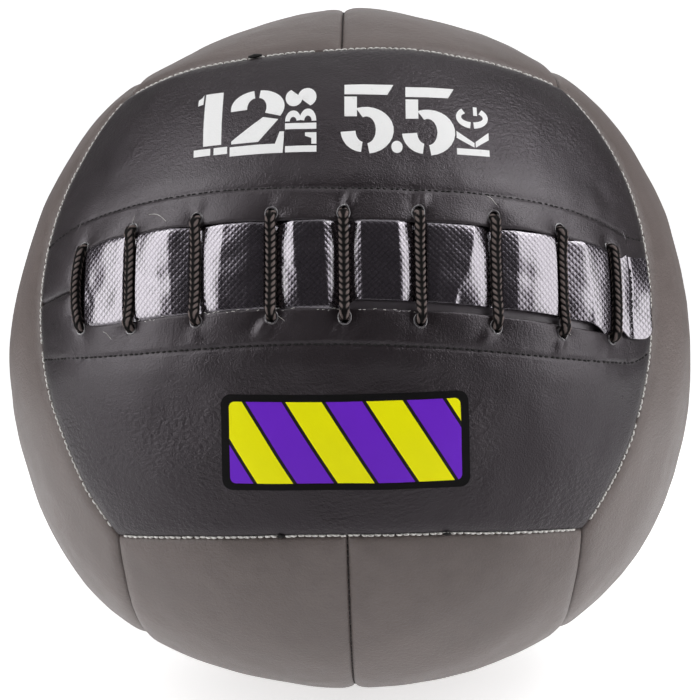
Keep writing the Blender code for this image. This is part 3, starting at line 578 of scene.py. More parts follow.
def patch(seams, along, across):
    """Directions spread between four seams."""
    near, far, left, right = seams
    u, v = along[:, None, None], across[None, :, None]
    ends = np.array((0.0, 1.0))
    (a, b), (c, d) = near(ends), far(ends)
    sheet = (1 - v) * near(along)[:, None] + v * far(along)[:, None]
    sheet = sheet + (1 - u) * left(across)[None] + u * right(across)[None]
    return unit(sheet - (1 - u) * (1 - v) * a - u * (1 - v) * b - (1 - u) * v * c - u * v * d)


# %% [markdown]
# At a seam both panels turn inwards, so that they meet in a narrow valley with round lips. The fall
# of the surface depends only on the distance to the nearest seam. The grid lines crowd together
# near the seams, where the form is tight, and spread out over the calm middle of the panel.

# %% Sewn panels
SKIN = 1.6 * MM
SEAM_GAP = 0.4 * MM
SEAM_SINK = 1.9 * MM
SEAM_ROLL = 10.0 * MM
LIP = 1.5 * MM
ALLOWANCE = 5.8 * MM
HEM_SINK = 0.3 * MM
HEM_RADIUS = 1.3 * MM
LIP_LINES = np.array((0.2, 0.3, 0.5, 0.8, 1.2, 1.8, 2.6, 3.8, 5.2, 7.0, 9.0)) * MM
PANEL_STEP = (2.0 * MM, 2.2 * MM)
WALL_LOOPS = 4
SEAM_SAMPLES = 33
CALM_SWELLS = ((0.45, 0.105, 3), (0.16, 0.038, 5), (0.045, 0.014, 8))
# Shares of the mouth over which a front panel's edge turns from open to sewn, and from hemmed to turned in
OPEN_UNTIL = (0.988, 1.002)
HEMMED_UNTIL = (0.955, 0.98)
SCRATCHED_PAST_HEM = (18.0 * MM, 42.0 * MM)


def seam_fall(distance, sink, lip):
    """Depth of the surface at a distance from a seam: a wide soft fall, then a quarter-round lip."""
    soft = np.clip(1.0 - distance / SEAM_ROLL, 0.0, 1.0) ** 3 * sink
    edge = np.clip(1.0 - distance / lip, 0.0, 1.0)
    return soft + lip * (1.0 - np.sqrt(1.0 - edge * edge))


def seam_lines(length, step):
    """Shares across a panel for its grid lines, tight at both seams."""
    near = LIP_LINES / length
    count = max(2, int(round((1.0 - 2.0 * near[-1]) * length / step)))
    calm = np.linspace(near[-1], 1.0 - near[-1], count + 1)
    return np.concatenate((near[:-1], calm, 1.0 - near[-2::-1]))


def seam_length(*seams):
    """Mean length of some seams on the ball, summed from short straight steps."""
    steps = np.linspace(0.0, 1.0, SEAM_SAMPLES)
    lengths = [np.linalg.norm(np.diff(seam(steps), axis=0), axis=1).sum() for seam in seams]
    return BALL_RADIUS * sum(lengths) / len(lengths)


def walked(ways, axis):
    """Distance walked over the ball along one direction of a grid, from its first line."""
    steps = np.linalg.norm(np.diff(ways, axis=axis), axis=-1) * BALL_RADIUS
    start = np.zeros_like(np.take(steps, [0], axis=axis))
    return np.concatenate((start, np.cumsum(steps, axis=axis)), axis=axis) + SEAM_GAP / 2.0


def calm_relief(way):
    """Slow swells that every panel has: the sum of three sizes of ripple."""
    return swells(way, CALM_SWELLS)


def edge_depth(ways, from_near, open_share):
    """Depth of a panel's edges: the falls at its four seams, added so that the corners stay round."""
    from_left = walked(ways, 0)
    sink = SEAM_SINK + (HEM_SINK - SEAM_SINK) * open_share[:, None]
    lip = LIP + (HEM_RADIUS - LIP) * open_share[:, None]
    falls = np.stack((
        seam_fall(from_near, sink, lip),
        seam_fall(from_near[:, -1:] + SEAM_GAP / 2.0 - from_near, SEAM_SINK, LIP),
        seam_fall(from_left, SEAM_SINK, LIP),
        seam_fall(from_left[-1:, :] + SEAM_GAP / 2.0 - from_left, SEAM_SINK, LIP),
    ))
    return (falls ** 3).sum(axis=0) ** (1.0 / 3.0)


def wall_rings(rim_ways, start, folded_at, hemmed):
    """Rings of points down a panel's wall: straight in at a sewn seam, rolled under where it is hemmed."""
    rings = []
    for step in range(1, WALL_LOOPS + 1):
        turn = math.pi / 2.0 * step / WALL_LOOPS
        folded_ways = folded_at(HEM_RADIUS * (1.0 - math.cos(turn)))
        ring_ways = unit(rim_ways + (folded_ways - rim_ways) * hemmed[:, None])
        folded = start + HEM_RADIUS * math.sin(turn)
        turned = start + (ALLOWANCE - start) * step / WALL_LOOPS
        rings.append(at_depth(ring_ways, turned + (folded - turned) * hemmed))
    return rings


def sewn_panel(name, seams, along, across, material, slot, relief=calm_relief, mouth=None):
    """A closed shell between four seams. mouth is 1 above the mouth, -1 below it, and None elsewhere."""
    long_way, short_way = seam_length(*seams[:2]), seam_length(*seams[2:])

    def spread(u, v):
        ways = patch(seams, u, v)
        return ways if mouth is None else opened(ways, mouth)

    def folded_at(inset):
        moved = across.copy()
        moved[0] += inset / short_way
        return spread(along, moved).reshape(-1, 3)[rim]

    ways = spread(along, across)
    columns, rows = ways.shape[:2]
    rim = rim_of(np.arange(columns * rows).reshape(columns, rows))
    from_near = walked(ways, 1)
    open_share = np.zeros(columns)
    hemmed = np.zeros((columns, rows))
    if mouth is not None:
        share = np.abs(mouth_share((2.0 * along - 1.0) * FRONT_SIDE))
        open_share = 1.0 - smooth(share, *OPEN_UNTIL)
        hemmed[:, 0] = 1.0 - smooth(share, *HEMMED_UNTIL)
        from_near = true_distance(ways, from_near, share, mouth)
    depth = edge_depth(ways, from_near, open_share) - relief(ways)
    rings = wall_rings(ways.reshape(-1, 3)[rim], depth.reshape(-1)[rim], folded_at, hemmed.reshape(-1)[rim])
    inner_along = SKIN / long_way + along * (1.0 - 2.0 * SKIN / long_way)
    inner_across = 2.0 * SKIN / short_way + across * (1.0 - 3.0 * SKIN / short_way)
    inner = at_depth(spread(inner_along, inner_across), SKIN + depth)
    points = np.concatenate([at_depth(ways, depth).reshape(-1, 3), inner.reshape(-1, 3)] + rings)
    streak = np.zeros(len(points))
    if mouth is not None:
        middle = mouth_middle(azimuth_of(ways))
        past_hem = np.abs(height_of(ways) - middle) * FRONT_RADIUS - MOUTH_HALF_HEIGHT
        streak[:depth.size] = 1.0 - smooth(past_hem, *SCRATCHED_PAST_HEM).reshape(-1)
    quads = shell_quads(columns, rows, WALL_LOOPS)
    piece = add_piece(name + "_shell", points, quads, material, slot, name, streak=streak)
    return piece


def plain_panel(name, seams):
    """A panel without a mouth. Its grid has even steps for the mean length of its opposite seams."""
    along = seam_lines(seam_length(*seams[:2]), PANEL_STEP[0])
    across = seam_lines(seam_length(*seams[2:]), PANEL_STEP[1])
    return sewn_panel(name, seams, along, across, GREY_VINYL, "grey_vinyl")


for height, word in ((1, "top"), (-1, "bottom")):
    for side, half in ((-1, "left"), (1, "right")):
        plain_panel(word + "_" + half + "_panel", seams_of(
            (front_mid(-1, height), front_mid(1, height)), np.array((0.0, 0.0, float(height))),
            (corner(side, -1, height), corner(side, 1, height)), top_mid(side, height), 0))
for side, word in ((-1, "left"), (1, "right")):
    for depth, half in ((-1, "front"), (1, "back")):
        plain_panel(word + "_" + half + "_panel", seams_of(
            (top_mid(side, 1), top_mid(side, -1)), np.array((float(side), 0.0, 0.0)),
            (corner(side, depth, 1), corner(side, depth, -1)), side_mid(side, depth), 1))
for height, half in ((1, "upper"), (-1, "lower")):
    plain_panel("back_" + half + "_panel", seams_of(
        (side_mid(-1, 1), side_mid(1, 1)), np.array((0.0, 1.0, 0.0)),
        (corner(-1, 1, height), corner(1, 1, height)), front_mid(1, height), 2))

# %% [markdown]
# ## The laced mouth
# The two front panels are hemmed where they face each other: the cloth is folded back over a tape
# and stitched down. Nine holes are punched through each hem. All of it is measured along the front
# of the ball from the mouth's middle line, which droops a little to the right.

# %% The lines of the mouth
RUNS = 9
MOUTH_HALF_LENGTH = 0.8484 * FRONT_SIDE * FRONT_RADIUS
MOUTH_HALF_HEIGHT = 19.6 * MM
MOUTH_SHIFT = 4.5 * MM
MOUTH_LOW = 2.5 * MM
MOUTH_DROOP = 0.023
END_SQUARENESS = 16
HEM_STITCH = 15.6 * MM
HEM_CLOSING = 0.2
HEM_CLOSED_AT = math.radians(50)
HOLE_HALF_SPREAD = MOUTH_HALF_LENGTH - 9.3 * MM
RUN_SHIFT = 2.0 * MM
RUN_CROWDING = 0.06


def mouth_share(azimuth):
    """-1 at the mouth's left end and 1 at its right end."""
    return (azimuth * FRONT_RADIUS - MOUTH_SHIFT) / MOUTH_HALF_LENGTH


def mouth_azimuth(share):
    """Azimuth of a share of the mouth, the opposite of mouth_share."""
    return (share * MOUTH_HALF_LENGTH + MOUTH_SHIFT) / FRONT_RADIUS


def mouth_middle(azimuth):
    """Height angle of the mouth's middle line, which meets the panels' seam past both ends."""
    outside = smooth(np.abs(mouth_share(azimuth)), 1.0, FRONT_SIDE * FRONT_RADIUS / MOUTH_HALF_LENGTH)
    low = MOUTH_LOW / FRONT_RADIUS + MOUTH_DROOP * (azimuth - MOUTH_SHIFT / FRONT_RADIUS)
    return -low * (1.0 - outside)


def mouth_half(azimuth):
    """Half the mouth's height in metres: nearly even, with rounded ends."""
    inside = np.clip(1.0 - np.abs(mouth_share(azimuth)) ** END_SQUARENESS, 0.0, 1.0)
    return MOUTH_HALF_HEIGHT * inside ** (1.0 / 3.0)


def hem_line(azimuth):
    """Distance of the hem's stitches from the middle line, closing in a little towards the ends."""
    return (MOUTH_HALF_HEIGHT + HEM_STITCH) * (1.0 - HEM_CLOSING * (azimuth / HEM_CLOSED_AT) ** 4)


# The nine runs of the lace: a formula spreads them, and each then strays a little, as in the photograph
RUN_SHARES = np.linspace(-1.0, 1.0, RUNS)
RUN_STRAYS = np.array((-1.5, -1.8, -0.4, 0.8, -1.2, -2.0, -1.2, 0.0, 0.0)) * MM
RUN_SPREAD = RUN_SHARES * (1.0 + RUN_CROWDING * (1.0 - RUN_SHARES ** 2))
RUN_AT = (RUN_SHIFT + HOLE_HALF_SPREAD * RUN_SPREAD + RUN_STRAYS) / FRONT_RADIUS
HOLE_INSETS = np.array((2.6, 2.4, 2.7, 2.9, 3.3, 3.8, 4.0, 2.9, 2.2)) * MM
print("lace runs at", np.degrees(RUN_AT).round(1), "degrees")

# %% [markdown]
# The lace pulls the hems inwards at each hole and lets them puff up between two holes. Each hole
# also throws one short crease away from the mouth, up to the right above it and down to the left
# below it, because the cord leaves each hole on the slant behind. These small forms catch most of
# the light on the black panels, so they are modelled and not painted.

# %% Relief of the front panels
# Strength of the crease that leaves each hole, above the mouth and below it
CREASE_STRENGTHS = ((0.0, 0.2, 0.5, 0.3, 1.3, 1.1, 0.5, 0.3, 0.1),
                    (0.0, 0.1, 0.3, 1.3, 0.6, 0.2, 0.9, 0.9, 0.2))
HEM_INSIDE = (math.radians(44), math.radians(54))
HEM_RISE = 0.45 * MM
HEM_EDGE = (-1.2 * MM, 0.6 * MM)
STITCH_SINK = 0.55 * MM
STITCH_WIDE = 0.8 * MM
SHOULDER_RISE = 0.5 * MM
SHOULDER_PAST = 7.0 * MM
SHOULDER_WIDE = 6.0 * MM
PUCKER_RISE = 0.05 * MM
PUCKER_WAVE = 0.006
PUCKER_WIDE = 5.0 * MM
PUFF_RISE = 0.9 * MM
PUFF_WIDE = 9.0 * MM
DIMPLE_SINK = 1.1 * MM
DIMPLE_WIDE = 4.5 * MM
CREASE_START = (1.0 * MM, 4.0 * MM)
CREASE_END = (6.0 * MM, 14.0 * MM)
RIDGE_RISE = 1.35 * MM
RIDGE_WIDE = 2.0 * MM
FURROW_SINK = 0.4 * MM
FURROW_WIDE = 2.6 * MM
FURROW_BESIDE = 4.5 * MM
# Degrees that a crease leans off upright, how much that varies, and how fast from hole to hole
CREASE_LEANS = (24.0, 14.0, 2.4)


def crease_slant(number, side):
    """Angle off upright: a mean lean, and a sine of the hole's number."""
    lean, stray, change = CREASE_LEANS
    return math.radians(lean + stray * math.sin(number * change)) * side


def hem_relief(way, azimuth, across):
    """The doubled cloth of the hem, the groove of its stitches, and the soft shoulder past them."""
    to_stitch = np.abs(across) - hem_line(azimuth)
    inside = 1.0 - smooth(np.abs(azimuth), *HEM_INSIDE)
    band = 1.0 - smooth(to_stitch, *HEM_EDGE)
    rise = calm_relief(way) + HEM_RISE * band * (0.3 + 0.7 * inside)
    rise = rise - STITCH_SINK * bell(to_stitch, STITCH_WIDE) * (0.4 + 0.6 * inside)
    rise = rise + SHOULDER_RISE * bell(to_stitch - SHOULDER_PAST, SHOULDER_WIDE) * inside
    return rise + PUCKER_RISE * ripple(way, PUCKER_WAVE, 21) * bell(to_stitch, PUCKER_WIDE)


def front_relief(way):
    """Rise of a front panel: its hem, a puff between each two holes, and a dimple and a crease at each."""
    azimuth, height = azimuth_of(way), height_of(way)
    across = (height - mouth_middle(azimuth)) * FRONT_RADIUS
    side = np.sign(across)
    past_edge = np.abs(across) - mouth_half(azimuth)
    place = np.interp(azimuth, RUN_AT, np.arange(RUNS))
    rise = hem_relief(way, azimuth, across)
    rise = rise + PUFF_RISE * np.sin(math.pi * place) ** 2 * bell(past_edge, PUFF_WIDE)
    for number, run in enumerate(RUN_AT):
        x = (azimuth - run) * FRONT_RADIUS * np.cos(height)
        y = past_edge - HOLE_INSETS[number]
        rise = rise - DIMPLE_SINK * np.exp(-(x * x + y * y) / DIMPLE_WIDE ** 2)
        slant = crease_slant(number, side)
        length = x * np.sin(slant) + y * np.cos(slant)
        width = x * np.cos(slant) - y * np.sin(slant)
        window = smooth(length, *CREASE_START) * (1.0 - smooth(length, *CREASE_END))
        strength = np.where(side > 0.0, CREASE_STRENGTHS[0][number], CREASE_STRENGTHS[1][number])
        rise = rise + RIDGE_RISE * strength * bell(width, RIDGE_WIDE) * window
        rise = rise - FURROW_SINK * strength * bell(width + FURROW_BESIDE, FURROW_WIDE) * window
    return rise


OPEN_REACH = 60.0 * MM / FRONT_RADIUS
FRONT_STEP = (1.5 * MM, 1.4 * MM)
UPRIGHT_SHARES = (0.9, 1.06)
UPRIGHT_DEPTH = 12.0 * MM
END_LINES = np.array((0.93, 0.95, 0.965, 0.975, 0.983, 0.989, 0.994, 1.0))
LEAST_LINE_GAP = 0.0002


def opened(ways, side):
    """Moves rows near the middle seam up or down to the mouth's edge, along lines of equal azimuth."""
    azimuth, height = azimuth_of(ways), height_of(ways) * side
    edge = side * mouth_middle(azimuth) + mouth_half(azimuth) / FRONT_RADIUS
    stay = np.clip(height / OPEN_REACH, 0.0, 1.0)
    return direction(azimuth, side * (height + edge * (1.0 - stay)))


def true_distance(ways, distance, share, side):
    """Near the mouth's two ends its edge runs upright, so the distance to it is measured afresh there."""
    columns = np.flatnonzero((share > UPRIGHT_SHARES[0]) & (share < UPRIGHT_SHARES[1]))
    rows = slice(0, np.searchsorted(distance[0], UPRIGHT_DEPTH))
    distance = distance.copy()
    turn = np.linspace(0.0, 1.0, 240) ** 0.25
    for half in (-1.0, 1.0):
        chosen = columns[columns < len(share) // 2] if half < 0.0 else columns[columns >= len(share) // 2]
        azimuth = mouth_azimuth(half * (0.85 + 0.15 * turn))
        edge = direction(azimuth, mouth_middle(azimuth) + side * mouth_half(azimuth) / FRONT_RADIUS)
        closed = mouth_azimuth(half * np.linspace(1.0, 1.15, 60))
        edge = np.concatenate((edge, direction(closed, mouth_middle(closed))))
        near = ways[chosen][:, rows]
        gaps = np.linalg.norm(near[:, :, None] - edge, axis=-1).min(axis=-1) * BALL_RADIUS
        distance[chosen, rows] = np.minimum(distance[chosen, rows], gaps + SEAM_GAP / 2.0)
    return distance


def front_panel(name, height):
    """A black panel, with extra grid lines where the ends of the mouth turn upright."""
    seams = seams_of(
        (side_mid(-1, -1), side_mid(1, -1)), np.array((0.0, -1.0, 0.0)),
        (corner(-1, -1, height), corner(1, -1, height)), front_mid(-1, height), 2)
    extra = (mouth_azimuth(np.concatenate((-END_LINES, END_LINES))) / FRONT_SIDE + 1.0) / 2.0
    along = np.sort(np.concatenate((seam_lines(seam_length(*seams[:2]), FRONT_STEP[0]), extra)))
    along = along[np.concatenate(([True], np.diff(along) > LEAST_LINE_GAP))]
    across = seam_lines(seam_length(*seams[2:]), FRONT_STEP[1])
    return sewn_panel(name, seams, along, across, BLACK_VINYL, "black_vinyl", front_relief, height)


# %% [markdown]
# The holes are real: one object holds a short oval rod for each hole, and a Boolean modifier takes
# them out of the panel. Each hole is a little taller than wide, because the taut cord stretches it.

# %% Punched holes
HOLE_LONG = 3.0 * MM
HOLE_WIDE = 2.45 * MM
HOLE_BEYOND = 0.7 * MM
HOLE_MARGIN = 0.9 * MM
HOLE_SIDES = 28
PUNCH_REACH = (-8.0 * MM, 4.0 * MM)


def hole_ring(number, height, grow, lift, sides):
    """An ellipse round one hole, grown by a width and lifted off the surface."""
    run = RUN_AT[number]
    inset = HOLE_INSETS[number] + HOLE_BEYOND
    out = direction(run, mouth_middle(run) + height * (mouth_half(run) + inset) / FRONT_RADIUS)
    side = unit(np.cross(out, np.array((0.0, 0.0, 1.0))))
    turn = (np.arange(sides) * 2.0 * math.pi / sides)[:, None]
    tall = min(HOLE_LONG, inset - HOLE_MARGIN) + grow
    ring = (HOLE_WIDE + grow) * np.cos(turn) * side + tall * np.sin(turn) * np.cross(side, out)
    return at_depth(out, -front_relief(out)) + ring + lift * out


def punch_holes(panel, height):
    """Cuts a panel's nine holes with one object of nine short elliptic rods."""
    rings, faces = [], []
    for number in range(RUNS):
        rings += [hole_ring(number, height, 0.0, lift, HOLE_SIDES) for lift in PUNCH_REACH]
        low = number * 2 * HOLE_SIDES + np.arange(HOLE_SIDES)
        faces += [low.tolist(), (low + HOLE_SIDES).tolist()]
        walls = np.stack((low, np.roll(low, -1), np.roll(low, -1) + HOLE_SIDES, low + HOLE_SIDES), -1)
        faces += walls.tolist()
    mesh = bpy.data.meshes.new(panel.name + "_punch")
    mesh.from_pydata(stand(np.concatenate(rings)).tolist(), [], faces)
    tidy = bmesh.new()
    tidy.from_mesh(mesh)
    bmesh.ops.recalc_face_normals(tidy, faces=tidy.faces)
    tidy.to_mesh(mesh)
    tidy.free()
    punch = add_object(mesh.name, mesh)
    cut = panel.modifiers.new("holes", "BOOLEAN")
    cut.operation = "DIFFERENCE"
    cut.object = punch
    graph = bpy.context.evaluated_depsgraph_get()
    cut_mesh = bpy.data.meshes.new_from_object(panel.evaluated_get(graph))
    panel.modifiers.clear()
    panel.data = cut_mesh
    bpy.data.objects.remove(punch)
    print(panel.name, "faces after punching", len(cut_mesh.polygons))


for height, half in ((1, "upper"), (-1, "lower")):
    punch_holes(front_panel("front_" + half + "_panel", height), height)

# %% [markdown]
# The punch was hot, so it left a thin shiny bead of melted coating round each hole. Each bead is a
# ring carried round the ellipse of the hole, swept as a small round section.

# %% Melted beads round the holes
BEAD_RADIUS = 0.55 * MM
BEAD_SEAT = 0.1 * MM
BEAD_STEPS = 36
BEAD_SIDES = 10


def bead_finish():
    paint = Paint("melted_bead")
    shade = paint.noise(paint.place(), 700.0)
    # The bead is melted black coating; its grey colour, lighter than the cloth, is partly painted
    # highlight.
    colour = paint.mix(shade, (0.04, 0.035, 0.04), (0.16, 0.15, 0.16))
    return paint.finish(Base_Color=colour, Roughness=0.14 + shade * 0.1, Coat_Weight=1.0,
                        Coat_Roughness=0.05)


def tube_quads(paths, length, sides, closed=False):
    """Faces of several tubes of the same length and number of sides, with flat ends unless closed."""
    index = np.arange(paths * length * sides).reshape(paths, length, sides)
    ahead = np.roll(index, -1, axis=1) if closed else index[:, 1:]
    here = index if closed else index[:, :-1]
    walls = np.stack((here, np.roll(here, -1, axis=2), np.roll(ahead, -1, axis=2), ahead), -1)
    faces = [walls.reshape(-1, 4)]
    if not closed:
        half = np.arange(sides // 2 - 1)
        strip = np.stack((half, half + 1, sides - 2 - half, sides - 1 - half), -1)
        faces += [index[:, 0][:, strip].reshape(-1, 4)[:, ::-1], index[:, -1][:, strip].reshape(-1, 4)]
    return np.concatenate(faces)


def rings_round(lines, out, side, radius, sides):
    """Rings round lines of shape (paths, length, 3), from the direction out through the direction side."""
    turn = np.arange(sides) * 2.0 * math.pi / sides
    wheel = np.cos(turn)[:, None] * out[:, :, None] + np.sin(turn)[:, None] * side[:, :, None]
    return lines[:, :, None] + wheel * np.broadcast_to(radius, (*lines.shape[:2], sides))[..., None]


def tube_points(lines, radius, outward, sides):
    """Rings square to each line; the first point of each ring looks outward."""
    along = unit(np.gradient(lines, axis=1))
    out = unit(outward - (outward * along).sum(axis=-1, keepdims=True) * along)
    return rings_round(lines, out, np.cross(along, out), radius, sides)


def hole_beads():
    """A closed round bar carried along the rim of each hole, laid on the panel's relief."""
    rings, ways = [], []
    for height in (1, -1):
        for number in range(RUNS):
            way = unit(hole_ring(number, height, BEAD_SEAT, 0.0, BEAD_STEPS))
            rings.append(at_depth(way, -front_relief(way) + BEAD_SEAT))
            ways.append(way)
    rings, ways = np.array(rings), np.array(ways)
    along = unit(np.roll(rings, -1, axis=1) - np.roll(rings, 1, axis=1))
    points = rings_round(rings, ways, np.cross(along, ways), BEAD_RADIUS, BEAD_SIDES)
    quads = tube_quads(len(rings), BEAD_STEPS, BEAD_SIDES, closed=True)
    return add_piece("hole_beads", points.reshape(-1, 3), quads, bead_finish(), slot="black_vinyl")


hole_beads()

# %% [markdown]
# Under the lacing lies one strip of coated mesh. The cord presses a valley into it at each run, and
# the filling pushes a pillow up between two runs. The strip's right end comes out of the mouth and
# lies on the panels. Its surface is a table of depths over azimuth and height, worked out in three
# steps: its outline, its pillows, and the way its tail climbs out over the panels.

# %% The tongue
TONGUE_THICKNESS = 1.0 * MM
TONGUE_GRID = (560, 72)
TONGUE_START = -0.985
TAIL_END = math.radians(51.8)
TAIL_HALF_HEIGHT = 18.3 * MM
TAIL_ROUNDING = 4.5 * MM
TAIL_ROUNDED = 0.45
TUCKED = 2.7 * MM
CUT_BACK = 6.3 * MM
NECK_INSET = 0.4 * MM
NECK_LEAST = 8.0 * MM
# Shares of the mouth over which the lower edge is cut back, the edges leave the hems, and the tail is free
CUT_START = (-0.08, 0.02)
CUT_END = (0.79, 0.92)
UNTUCKED = (0.872, 0.9)
FREE = (0.94, 0.975)
OUT_OF_MOUTH = (0.895, 0.955)

# The tongue's walls in each gap between two runs: slope in degrees and reach in millimetres on the
# left, the same on the right, and how far the gap's crest leans to the right on its way up
WALLS = ((5, 6, 4, 7, 0.0), (4, 15, 11, 12, -0.1), (14, 12, 8, 10, 0.1), (27, 11, 36, 8, -0.15),
         (38, 8, 27, 9, -0.05), (8, 8, 16, 13, 0.5), (14, 10, 3, 15, 0.1), (18, 15, 5, 6, -0.15))
VALLEYS = np.array((1.2, 3.0, 3.3, 3.3, 3.3, 3.3, 3.2, 2.8, 1.4)) * MM
CREST_HEIGHT = 1.0 * MM
EDGE_DEPTH = 1.5 * MM
EDGE_DIP = 1.9 * MM
WALL_FADE = 1.15
WALL_STEP = (1.3 * MM, 3.0 * MM)
CROWN_SQUARENESS = 22
CROWN_MARGIN = 1.5 * MM
CROWN_LEAST = 4.0 * MM
ROW_CROWDING = 1.3
FOLDS = ((0.16, 0.03, 31), (0.06, 0.012, 33))


def wall_depth(distance, valley, slope, reach):
    """A narrow steep step beside the lace's run, then a gentle slope that fades out at its reach."""
    gentle = np.minimum(np.tan(np.radians(slope)) * reach * MM / WALL_FADE, valley)
    step = (valley - gentle) * (1.0 - smooth(distance, *WALL_STEP))
    return gentle * np.clip(1.0 - distance / (reach * MM), 0.0, 1.0) ** WALL_FADE + step


TACK_AT = math.radians(47.7)
TACK_LEAN = 0.03
TACK_SINK = 0.8 * MM
TACK_WIDE = 0.9 * MM
TACK_BLEND = 0.8 * MM
TAIL_CLIMB = 0.15
TAIL_STAND_OFF = 0.24
TAIL_TWIST = 5.0

CREASE_FADE_IN = (-2.0, 2.0)
CREASE_FADE_OUT = (-5.0, 3.0)
# Creases in millimetres on the front of the ball: start, end, depth and width
CREASES = ((-103, 6, -84, -4, 0.5, 1.8), (-32, 3, -19, -5, 0.5, 1.8), (66, 2, 86, 0, 0.25, 5.0),
           (-128, 9, -119, -10, 0.35, 1.6), (41, -12, 55, 2, 0.2, 3.0), (-64, -9, -54, 4, 0.1, 3.0),
           (12, 8, 26, -8, 0.1, 3.0))


def crease_depth(x, y):
    """Sum of valleys along the listed lines; each ends softly."""
    total = 0.0
    for x0, y0, x1, y1, deep, width in CREASES:
        long_x, long_y = x1 - x0, y1 - y0
        length = math.hypot(long_x, long_y)
        along = ((x - x0) * long_x + (y - y0) * long_y) / length
        off = ((x - x0) * long_y - (y - y0) * long_x) / length
        ends = smooth(along, *CREASE_FADE_IN) * (1.0 - smooth(along - length, *CREASE_FADE_OUT))
        total = total + deep * bell(off, width) * ends
    return total


def tongue_outline(azimuths):
    """Distances of the strip's lower and upper edges from the mouth's middle line."""
    edge = mouth_half(azimuths)
    share = mouth_share(azimuths)
    cut = smooth(share, *CUT_START) * (1.0 - smooth(share, *CUT_END))
    tuck = 1.0 - smooth(share, *UNTUCKED)
    free = smooth(share, *FREE)
    neck = np.maximum(edge - NECK_INSET, NECK_LEAST)
    upper = neck + (edge + TUCKED - neck) * tuck
    lower = neck + (edge + TUCKED - CUT_BACK * cut - neck) * tuck
    past = np.clip((azimuths - mouth_azimuth(1.0)) / (TAIL_END - mouth_azimuth(1.0)), 0.0, 1.0)
    past = np.clip((past - 1.0 + TAIL_ROUNDED) / TAIL_ROUNDED, 0.0, 1.0)
    rounding = TAIL_ROUNDING * (1.0 - np.sqrt(1.0 - past * past))
    upper = upper + (TAIL_HALF_HEIGHT - 0.2 * rounding - upper) * free
    lower = lower + (TAIL_HALF_HEIGHT - rounding - lower) * free
    return lower, upper


def pillow_depth(azimuths, ways, y, half):
    """Depth inside the mouth: a wall on each side of every gap, less folds, flattened at both edges."""
    crown = 1.0 - np.clip(np.abs(y) / half, 0.0, 1.0) ** CROWN_SQUARENESS
    place = np.interp(azimuths, RUN_AT, np.arange(RUNS))[:, None]
    gap = np.clip(place.astype(int), 0, RUNS - 2)
    left_slope, left_reach, right_slope, right_reach, leaning = np.array(WALLS)[gap].transpose(2, 0, 1)
    waves = np.abs(np.cos(math.pi * place))
    leaned = (azimuths[:, None] - leaning * (1.0 - waves) * y / FRONT_RADIUS) * FRONT_RADIUS
    from_left = np.abs(leaned - RUN_AT[gap] * FRONT_RADIUS)
    from_right = np.abs(RUN_AT[gap + 1] * FRONT_RADIUS - leaned)
    top = wall_depth(from_left, VALLEYS[gap] + CREST_HEIGHT, left_slope, left_reach) - CREST_HEIGHT
    top = top + wall_depth(from_right, VALLEYS[gap + 1] + CREST_HEIGHT, right_slope, right_reach)
    rest = EDGE_DEPTH + EDGE_DIP * waves ** 4
    folds = swells(ways, FOLDS) - crease_depth(azimuths[:, None] * FRONT_RADIUS / MM, y / MM) * MM
    return rest + (top - rest) * crown - folds * (1.0 - waves ** 6) * crown


def tail_depth(azimuths, ways, y, tack):
    """Depth on the panels: the strip climbs to its zigzag tack and stands off more steeply past it."""
    from_run = np.maximum(azimuths[:, None] - RUN_AT[-1], 0.0) * FRONT_RADIUS
    before = TAIL_CLIMB * from_run
    after = (TAIL_STAND_OFF - TAIL_TWIST * y) * np.maximum(tack, 0.0)
    climb = before + (after - before) * smooth(tack, -TACK_BLEND, TACK_BLEND)
    return -front_relief(ways) - TONGUE_THICKNESS - climb - 0.1 * MM * ripple(ways, 0.02, 35)


def tongue():
    """A grid over the mouth: columns at even azimuths, and rows crowded towards both edges."""
    azimuths = np.linspace(mouth_azimuth(TONGUE_START), TAIL_END, TONGUE_GRID[0])
    lower, upper = tongue_outline(azimuths)
    rows = np.linspace(-1.0, 1.0, TONGUE_GRID[1])
    rows = np.sign(rows) * (1.0 - (1.0 - np.abs(rows)) ** ROW_CROWDING)
    y = np.where(rows < 0.0, rows * lower[:, None], rows * upper[:, None])
    heights = mouth_middle(azimuths)[:, None] + y / FRONT_RADIUS
    ways = direction(azimuths[:, None], heights)
    edge = mouth_half(azimuths)
    half = np.where(rows < 0.0, np.minimum(edge, lower + MM)[:, None], np.minimum(edge, upper)[:, None])
    half = np.maximum(half + CROWN_MARGIN, CROWN_LEAST)
    depth = pillow_depth(azimuths, ways, y, half)
    tack = (azimuths[:, None] - TACK_AT) * FRONT_RADIUS + TACK_LEAN * y
    out = smooth(mouth_share(azimuths), *OUT_OF_MOUTH)[:, None]
    depth = depth + (tail_depth(azimuths, ways, y, tack) - depth) * out
    depth = depth + TACK_SINK * bell(tack, TACK_WIDE) * out
    flat = np.stack((np.broadcast_to(azimuths[:, None] * FRONT_RADIUS, y.shape), y, 0.0 * y), -1) / MM
    return strip_shell("lace_tongue", azimuths, heights, depth, TONGUE_THICKNESS, COATED_MESH,
                       "coated_mesh", flat=flat.reshape(-1, 3))


tongue()

# %% [markdown]
# Behind the tongue a plain strip closes the mouth, and the lower hem leaves a few millimetres of it
# showing on the right. It is a simple curved strip. The tapes behind both hems stay the measured
# solids, because nothing of them can be seen.

# %% The lining
LINING_START = -0.975
LINING_THICKNESS = 0.95 * MM
LINING_DEPTH = 4.9 * MM
LINING_RISE = 2.3 * MM
LINING_GRID = (150, 60)
# The lining rises to the cut lower edge of the tongue: up to these shares, and below these heights
LINING_SHOWN_END = (0.80, 0.9)
LINING_SHOWN_LOW = (13.5 * MM, 16.5 * MM)


